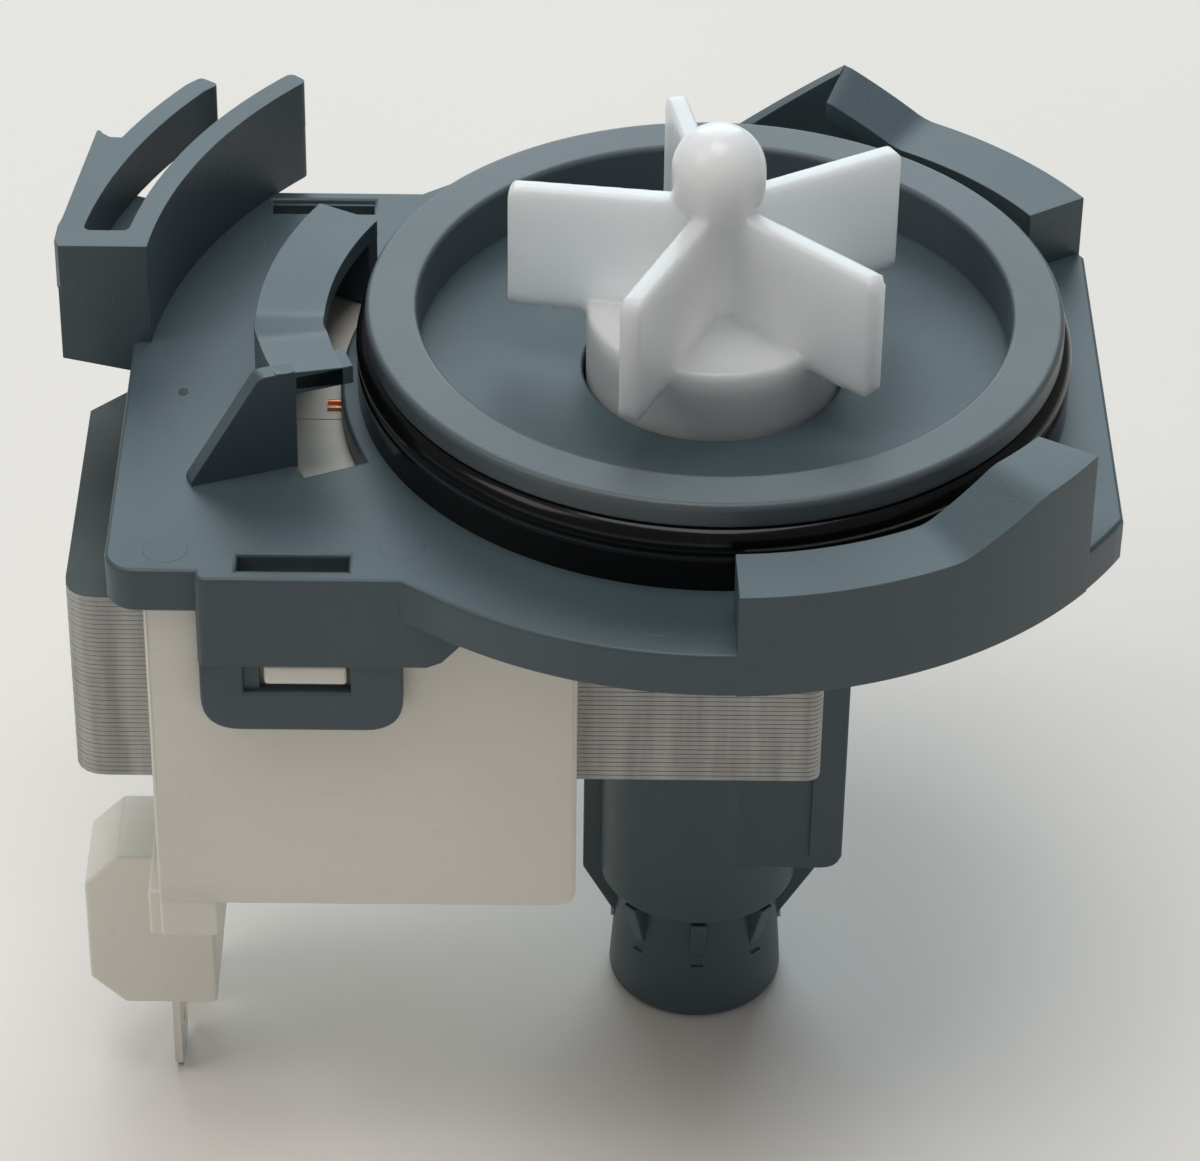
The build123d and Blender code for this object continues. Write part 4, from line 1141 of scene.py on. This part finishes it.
def cover_details(bm):
    """Ribs, catches, front tab and the connector block."""
    low = COVER_Z[0]
    for i in range(COVER_RIBS):
        x = COIL_X[0] + (COIL_X[1] - COIL_X[0] - COIL_END_T) * i / (COVER_RIBS - 1)
        zs = (low + 0.6, CORE_TOP - CORE_H - COIL_FLANGE[1])
        block(bm, (x, x + COIL_END_T), (-COVER_OUT + 1, COVER_OUT - 1), zs)
    face = COVER_OUT - COVER_WALL / 2
    tip = COVER_OUT + CATCH_OUT
    for side in (-1, 1):
        wedge = [(face, CATCH_Z[1]), (tip, CATCH_Z[1]), (tip, CATCH_Z[0] + CATCH_LIP), (face, CATCH_Z[0])]
        prism(bm, [(side * y, z) for y, z in wedge], CATCH_X[0], CATCH_X[1], UPRIGHT_YZ)
    ys = (-COVER_OUT + LAP, -COVER_OUT + COVER_WALL)
    block(bm, (COVER_X[0] + 0.03, TAB_END_X), ys, (low - TAB_H, low + 2))
    x0, x1 = SHROUD_X
    z0, z1 = SHROUD_Z
    c = SHROUD_CUT
    outline = [(x0, z0 + c), (x0 + c, z0), (x1, z0), (x1, z1), (x0 + c, z1), (x0, z1 - c)]
    prism(bm, outline, -SHROUD_BACK, -SHROUD_Y[0], UPRIGHT_XZ)
    block(bm, (SHROUD_WALL_X, x1 - LAP), (SHROUD_BACK - 1.0, SHROUD_Y[1]), (z0 + LAP, z1 - LAP))
    block(bm, (NECK_X, x1 - LAP), (-COVER_OUT + 1.0, SHROUD_Y[1] - LAP), (z1 - 1, low + 0.6))


class PUMP_OT_cover(bpy.types.Operator):
    """Build the white coil cover with its catches and connector block"""

    bl_idname = "pump.cover"
    bl_label = "Coil cover"

    def execute(self, context):
        bm = bmesh.new()
        plates = []
        cover_shells(bm, plates)
        cover_details(bm)
        soften(bm, sizes().edge_round / MM * 0.8)
        for mesh in plates:
            add_mesh(bm, mesh)
        white = cover_plastic("cover plastic", colours().cover)
        finish_piece("cover_body", bm, [white], "housing", ["coil_cover"])
        return {"FINISHED"}


class PUMP_OT_terminals(bpy.types.Operator):
    """Build the two blade terminals"""

    bl_idname = "pump.terminals"
    bl_label = "Blade terminals"

    def execute(self, context):
        tin = metal("tinned brass", colours().terminal, 0.24, 700.0)
        for name in ("terminal_front", "terminal_rear"):
            lo, hi = (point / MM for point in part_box(name))
            side, end = BLADE_ROUND
            cut = lo.z + BLADE_CUT[1]
            outline = eased([
                (lo.y, hi.z), (lo.y, cut, side), (lo.y + BLADE_CUT[0], lo.z, end),
                (hi.y - BLADE_CUT[0], lo.z, end), (hi.y, cut, side), (hi.y, hi.z),
            ], 3)
            hole = arc(BLADE_HOLE_R, 0, 345, ((lo.y + hi.y) / 2, lo.z + BLADE_HOLE_UP), 15)
            bm = bmesh.new()
            add_mesh(bm, flat_plate([outline, hole], lo.x, hi.x, 0.12, UPRIGHT_YZ))
            finish_piece(name + "_body", bm, [tin], "housing", [name])
        return {"FINISHED"}


# Impeller


def impeller_shells(bm):
    """Hub, neck, long ball and vanes as overlapping shells."""
    low_ball = BALL_Z - BALL_STRETCH
    lower = arc(BALL_R, BALL_ARC[0], 0, (0, low_ball), 6)
    upper = arc(BALL_R, 0, BALL_ARC[1], (0, BALL_Z), 6)
    neck_top = low_ball - math.sqrt(BALL_R ** 2 - NECK_R[1] ** 2)
    inner = HUB_R - HUB_WALL
    profile = [(0, HUB_ROOF), (inner, HUB_ROOF), (inner, HUB_BOTTOM)]
    profile += eased([
        (HUB_R, HUB_BOTTOM), (HUB_R, HUB_TOP, HUB_ROUND), (NECK_R[0], HUB_TOP, NECK_ROUND[0]),
        (NECK_R[1], neck_top, NECK_ROUND[1]), lower[0],
    ], 6)
    profile += lower[1:] + upper + [(0, BALL_Z + BALL_R)]
    turned(bm, profile, 96)
    for i in range(VANES):
        points = eased([
            (VANE_IN, VANE_Z[0]), (VANE_R, VANE_Z[0], VANE_ROUND[0]),
            (VANE_R, VANE_Z[1], VANE_ROUND[1]), (VANE_IN, VANE_Z[1]),
        ], 4)
        prism(bm, points, -VANE_T / 2, VANE_T / 2, standing(VANE_FIRST + i * 360 / VANES))


class PUMP_OT_impeller(bpy.types.Operator):
    """Build the impeller and blend its shells into one moulding"""

    bl_idname = "pump.impeller"
    bl_label = "Impeller"

    def execute(self, context):
        bm = bmesh.new()
        impeller_shells(bm)
        milk = impeller_plastic("impeller plastic", colours().impeller)
        piece = finish_piece(
            "impeller_body", bm, [milk], "impeller", ["impeller"], weighted=False
        )
        melt = piece.modifiers.new("one moulding", "REMESH")
        melt.mode = "VOXEL"
        melt.voxel_size = sizes().melt
        melt.use_smooth_shade = True
        calm = piece.modifiers.new("calm", "SMOOTH")
        calm.factor = 0.5
        calm.iterations = 2
        return {"FINISHED"}


# Pieces that keep their CAD shape


class PUMP_OT_inner_parts(bpy.types.Operator):
    """Give the pieces inside the can and hub their materials"""

    bl_idname = "pump.inner_parts"
    bl_label = "Inner parts"

    def execute(self, context):
        rubber = seal_rubber("inner rubber", colours().rubber)
        plastic = moulded_plastic("carrier plastic", colours().housing)
        milk = impeller_plastic("dog plastic", colours().impeller)
        steel = metal("ground shaft", (0.62, 0.62, 0.63), 0.14, 1200.0)
        ferrite = mineral("ferrite", (0.05, 0.05, 0.055), 0.55)
        ceramic = mineral("bearing ceramic", (0.62, 0.60, 0.55), 0.30)
        washer = moulded_plastic("washer plastic", (0.30, 0.24, 0.14))
        plan = {
            rubber: ("can_gasket", "front_grommet", "rear_grommet", "shaft_seal", "dog_pads"),
            plastic: ("bearing_carrier",),
            milk: ("drive_dog", "magnet_sleeve"),
            steel: ("rotor_shaft",),
            ferrite: ("rotor_magnet",),
            ceramic: ("front_bearing", "rear_bearing"),
            washer: ("thrust_washer_front", "thrust_washer_rear"),
        }
        for material, names in plan.items():
            for name in names:
                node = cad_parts[name]
                node.data.materials.clear()
                node.data.materials.append(material)
        return {"FINISHED"}


class PUMP_OT_stage(bpy.types.Operator):
    """Build the table, the light and the camera"""

    bl_idname = "pump.stage"
    bl_label = "Stage"

    def execute(self, context):
        scene = context.scene
        stage = scene.pump_stage
        bm = bmesh.new()
        z = CUP_BOTTOM * MM - TABLE_DROP
        reach = (-TABLE_HALF, TABLE_HALF)
        bm.faces.new([bm.verts.new((x, y, z)) for x, y in rectangle(reach, reach)])
        mesh = bpy.data.meshes.new("table")
        bm.to_mesh(mesh)
        bm.free()
        table = bpy.data.objects.new("table", mesh)
        scene.collection.objects.link(table)
        mesh.materials.append(floor_material("table top", stage.floor))
        for name, place, size, colour in LAMPS:
            area_light(name, place, size, getattr(stage, name), colour)
        world = bpy.data.worlds.new("room")
        world.use_nodes = True
        background = world.node_tree.nodes["Background"]
        background.inputs["Color"].default_value = ROOM_COLOUR
        background.inputs["Strength"].default_value = stage.room
        scene.world = world
        scene.view_settings.view_transform = "Standard"
        photo_camera(scene)
        return {"FINISHED"}


def area_light(name, place, size, power, colour):
    """Square lamp that faces the pump."""
    data = bpy.data.lights.new(name, "AREA")
    data.size = size
    data.energy = power
    data.color = colour
    lamp = bpy.data.objects.new(name, data)
    lamp.location = place
    lamp.rotation_mode = "QUATERNION"
    lamp.rotation_quaternion = (-Vector(place)).to_track_quat("-Z", "Y")
    bpy.context.scene.collection.objects.link(lamp)


def photo_camera(scene):
    """Camera at the photograph's place and angle."""
    turn, down, roll = (math.radians(v) for v in (CAMERA_TURN, CAMERA_DOWN, CAMERA_ROLL))
    data = bpy.data.cameras.new("photo camera")
    data.sensor_width = SENSOR_MM
    data.lens = FOCAL_SHARE * SENSOR_MM
    camera = bpy.data.objects.new("photo camera", data)
    camera.matrix_world = (
        Matrix.Translation(Vector(CAMERA_AT) * MM)
        @ Matrix.Rotation(turn, 4, "Z")
        @ Matrix.Rotation(math.pi / 2 - down, 4, "X")
        @ Matrix.Rotation(roll, 4, "Z")
    )
    scene.collection.objects.link(camera)
    scene.camera = camera


# Settings and panel


def colour_setting(name, description, default):
    """Colour property."""
    return bpy.props.FloatVectorProperty(
        name=name, description=description, default=default, subtype="COLOR", size=3, min=0.0, max=1.0
    )


def length_setting(name, description, default):
    """Length property."""
    return bpy.props.FloatProperty(
        name=name, description=description, default=default,
        unit="LENGTH", subtype="DISTANCE", min=0.0, precision=5,
    )


def power_setting(name, description, default):
    """Power property."""
    return bpy.props.FloatProperty(name=name, description=description, default=default, unit="POWER", min=0.0)


class PumpColours(bpy.types.PropertyGroup):
    """Colours of the pump's materials"""

    housing: colour_setting("Housing", "Plastic of the flange and can", (0.056, 0.084, 0.097))
    ring: colour_setting("Ring", "Plastic of the collar ring", (0.076, 0.094, 0.104))
    rubber: colour_setting("Rubber", "Rubber of the seals", (0.004, 0.004, 0.0045))
    impeller: colour_setting("Impeller", "Plastic of the impeller", (0.87, 0.88, 0.88))
    cover: colour_setting("Cover", "Plastic of the cover and bobbins", (0.80, 0.77, 0.69))
    sheet_edge: colour_setting("Sheet edge", "Cut edges of the core", (0.40, 0.40, 0.385))
    sheet_face: colour_setting("Sheet face", "Coated face of the core", (0.042, 0.052, 0.051))
    copper: colour_setting("Copper", "Enamelled wire", (0.72, 0.26, 0.13))
    terminal: colour_setting("Terminal", "Tinned blades", (0.66, 0.64, 0.60))


class PumpSizes(bpy.types.PropertyGroup):
    """Sizes that can be changed without changing the fit"""

    edge_round: length_setting("Edge rounding", "Radius of the moulded edges", 0.0004)
    ring_round: length_setting("Ring rounding", "Radius of the collar ring's edges", 0.0007)
    sheet_gap: length_setting("Sheet gap", "Groove between two sheets of the core", 0.00003)
    wire: length_setting("Wire", "Diameter of the winding wire", 0.0004)
    melt: length_setting("Blend", "Size at which the impeller's shells blend", 0.00028)
    sheets: bpy.props.IntProperty(name="Sheets", description="Sheets in the core", default=40, min=2)


class PumpStage(bpy.types.PropertyGroup):
    """Floor and light"""

    floor: colour_setting("Floor", "Colour of the table", (0.86, 0.81, 0.765))
    key: power_setting("Key", "Power of the lamp above the pump", 4.7)
    window: power_setting("Window", "Power of the cool soft light behind the pump", 8.0)
    side: power_setting("Side", "Power of the warm lamp on the left", 1.8)
    room: bpy.props.FloatProperty(
        name="Room", description="Strength of the room's light", default=0.23, min=0.0
    )


PIECES = (
    PUMP_OT_flange, PUMP_OT_collar_ring, PUMP_OT_rotor_can, PUMP_OT_core, PUMP_OT_bobbins,
    PUMP_OT_windings, PUMP_OT_cover, PUMP_OT_terminals, PUMP_OT_impeller, PUMP_OT_inner_parts,
    PUMP_OT_stage,
)


class PUMP_PT_panel(bpy.types.Panel):
    """Panel that lists the pump's pieces and settings"""

    bl_idname = "PUMP_PT_panel"
    bl_label = "Drain pump"
    bl_space_type = "VIEW_3D"
    bl_region_type = "UI"
    bl_category = "Drain pump"

    def draw(self, context):
        for piece in PIECES:
            self.layout.operator(piece.bl_idname)
        for group in (context.scene.pump_colours, context.scene.pump_sizes, context.scene.pump_stage):
            box = self.layout.box()
            for key in group.__annotations__:
                box.prop(group, key)


GROUPS = (("pump_colours", PumpColours), ("pump_sizes", PumpSizes), ("pump_stage", PumpStage))


def register():
    """Register the settings, operators and panel."""
    for name, group in GROUPS:
        bpy.utils.register_class(group)
        setattr(bpy.types.Scene, name, bpy.props.PointerProperty(type=group))
    for piece in PIECES:
        bpy.utils.register_class(piece)
    bpy.utils.register_class(PUMP_PT_panel)


def unregister():
    """Take away what register added."""
    bpy.utils.unregister_class(PUMP_PT_panel)
    for piece in reversed(PIECES):
        bpy.utils.unregister_class(piece)
    for name, group in reversed(GROUPS):
        delattr(bpy.types.Scene, name)
        bpy.utils.unregister_class(group)


def main():
    """Build every piece in order."""
    register()
    bpy.ops.pump.flange()
    bpy.ops.pump.collar_ring()
    bpy.ops.pump.rotor_can()
    bpy.ops.pump.core()
    bpy.ops.pump.bobbins()
    bpy.ops.pump.windings()
    bpy.ops.pump.cover()
    bpy.ops.pump.terminals()
    bpy.ops.pump.impeller()
    bpy.ops.pump.inner_parts()
    bpy.ops.pump.stage()


if __name__ == "__main__":
    main()
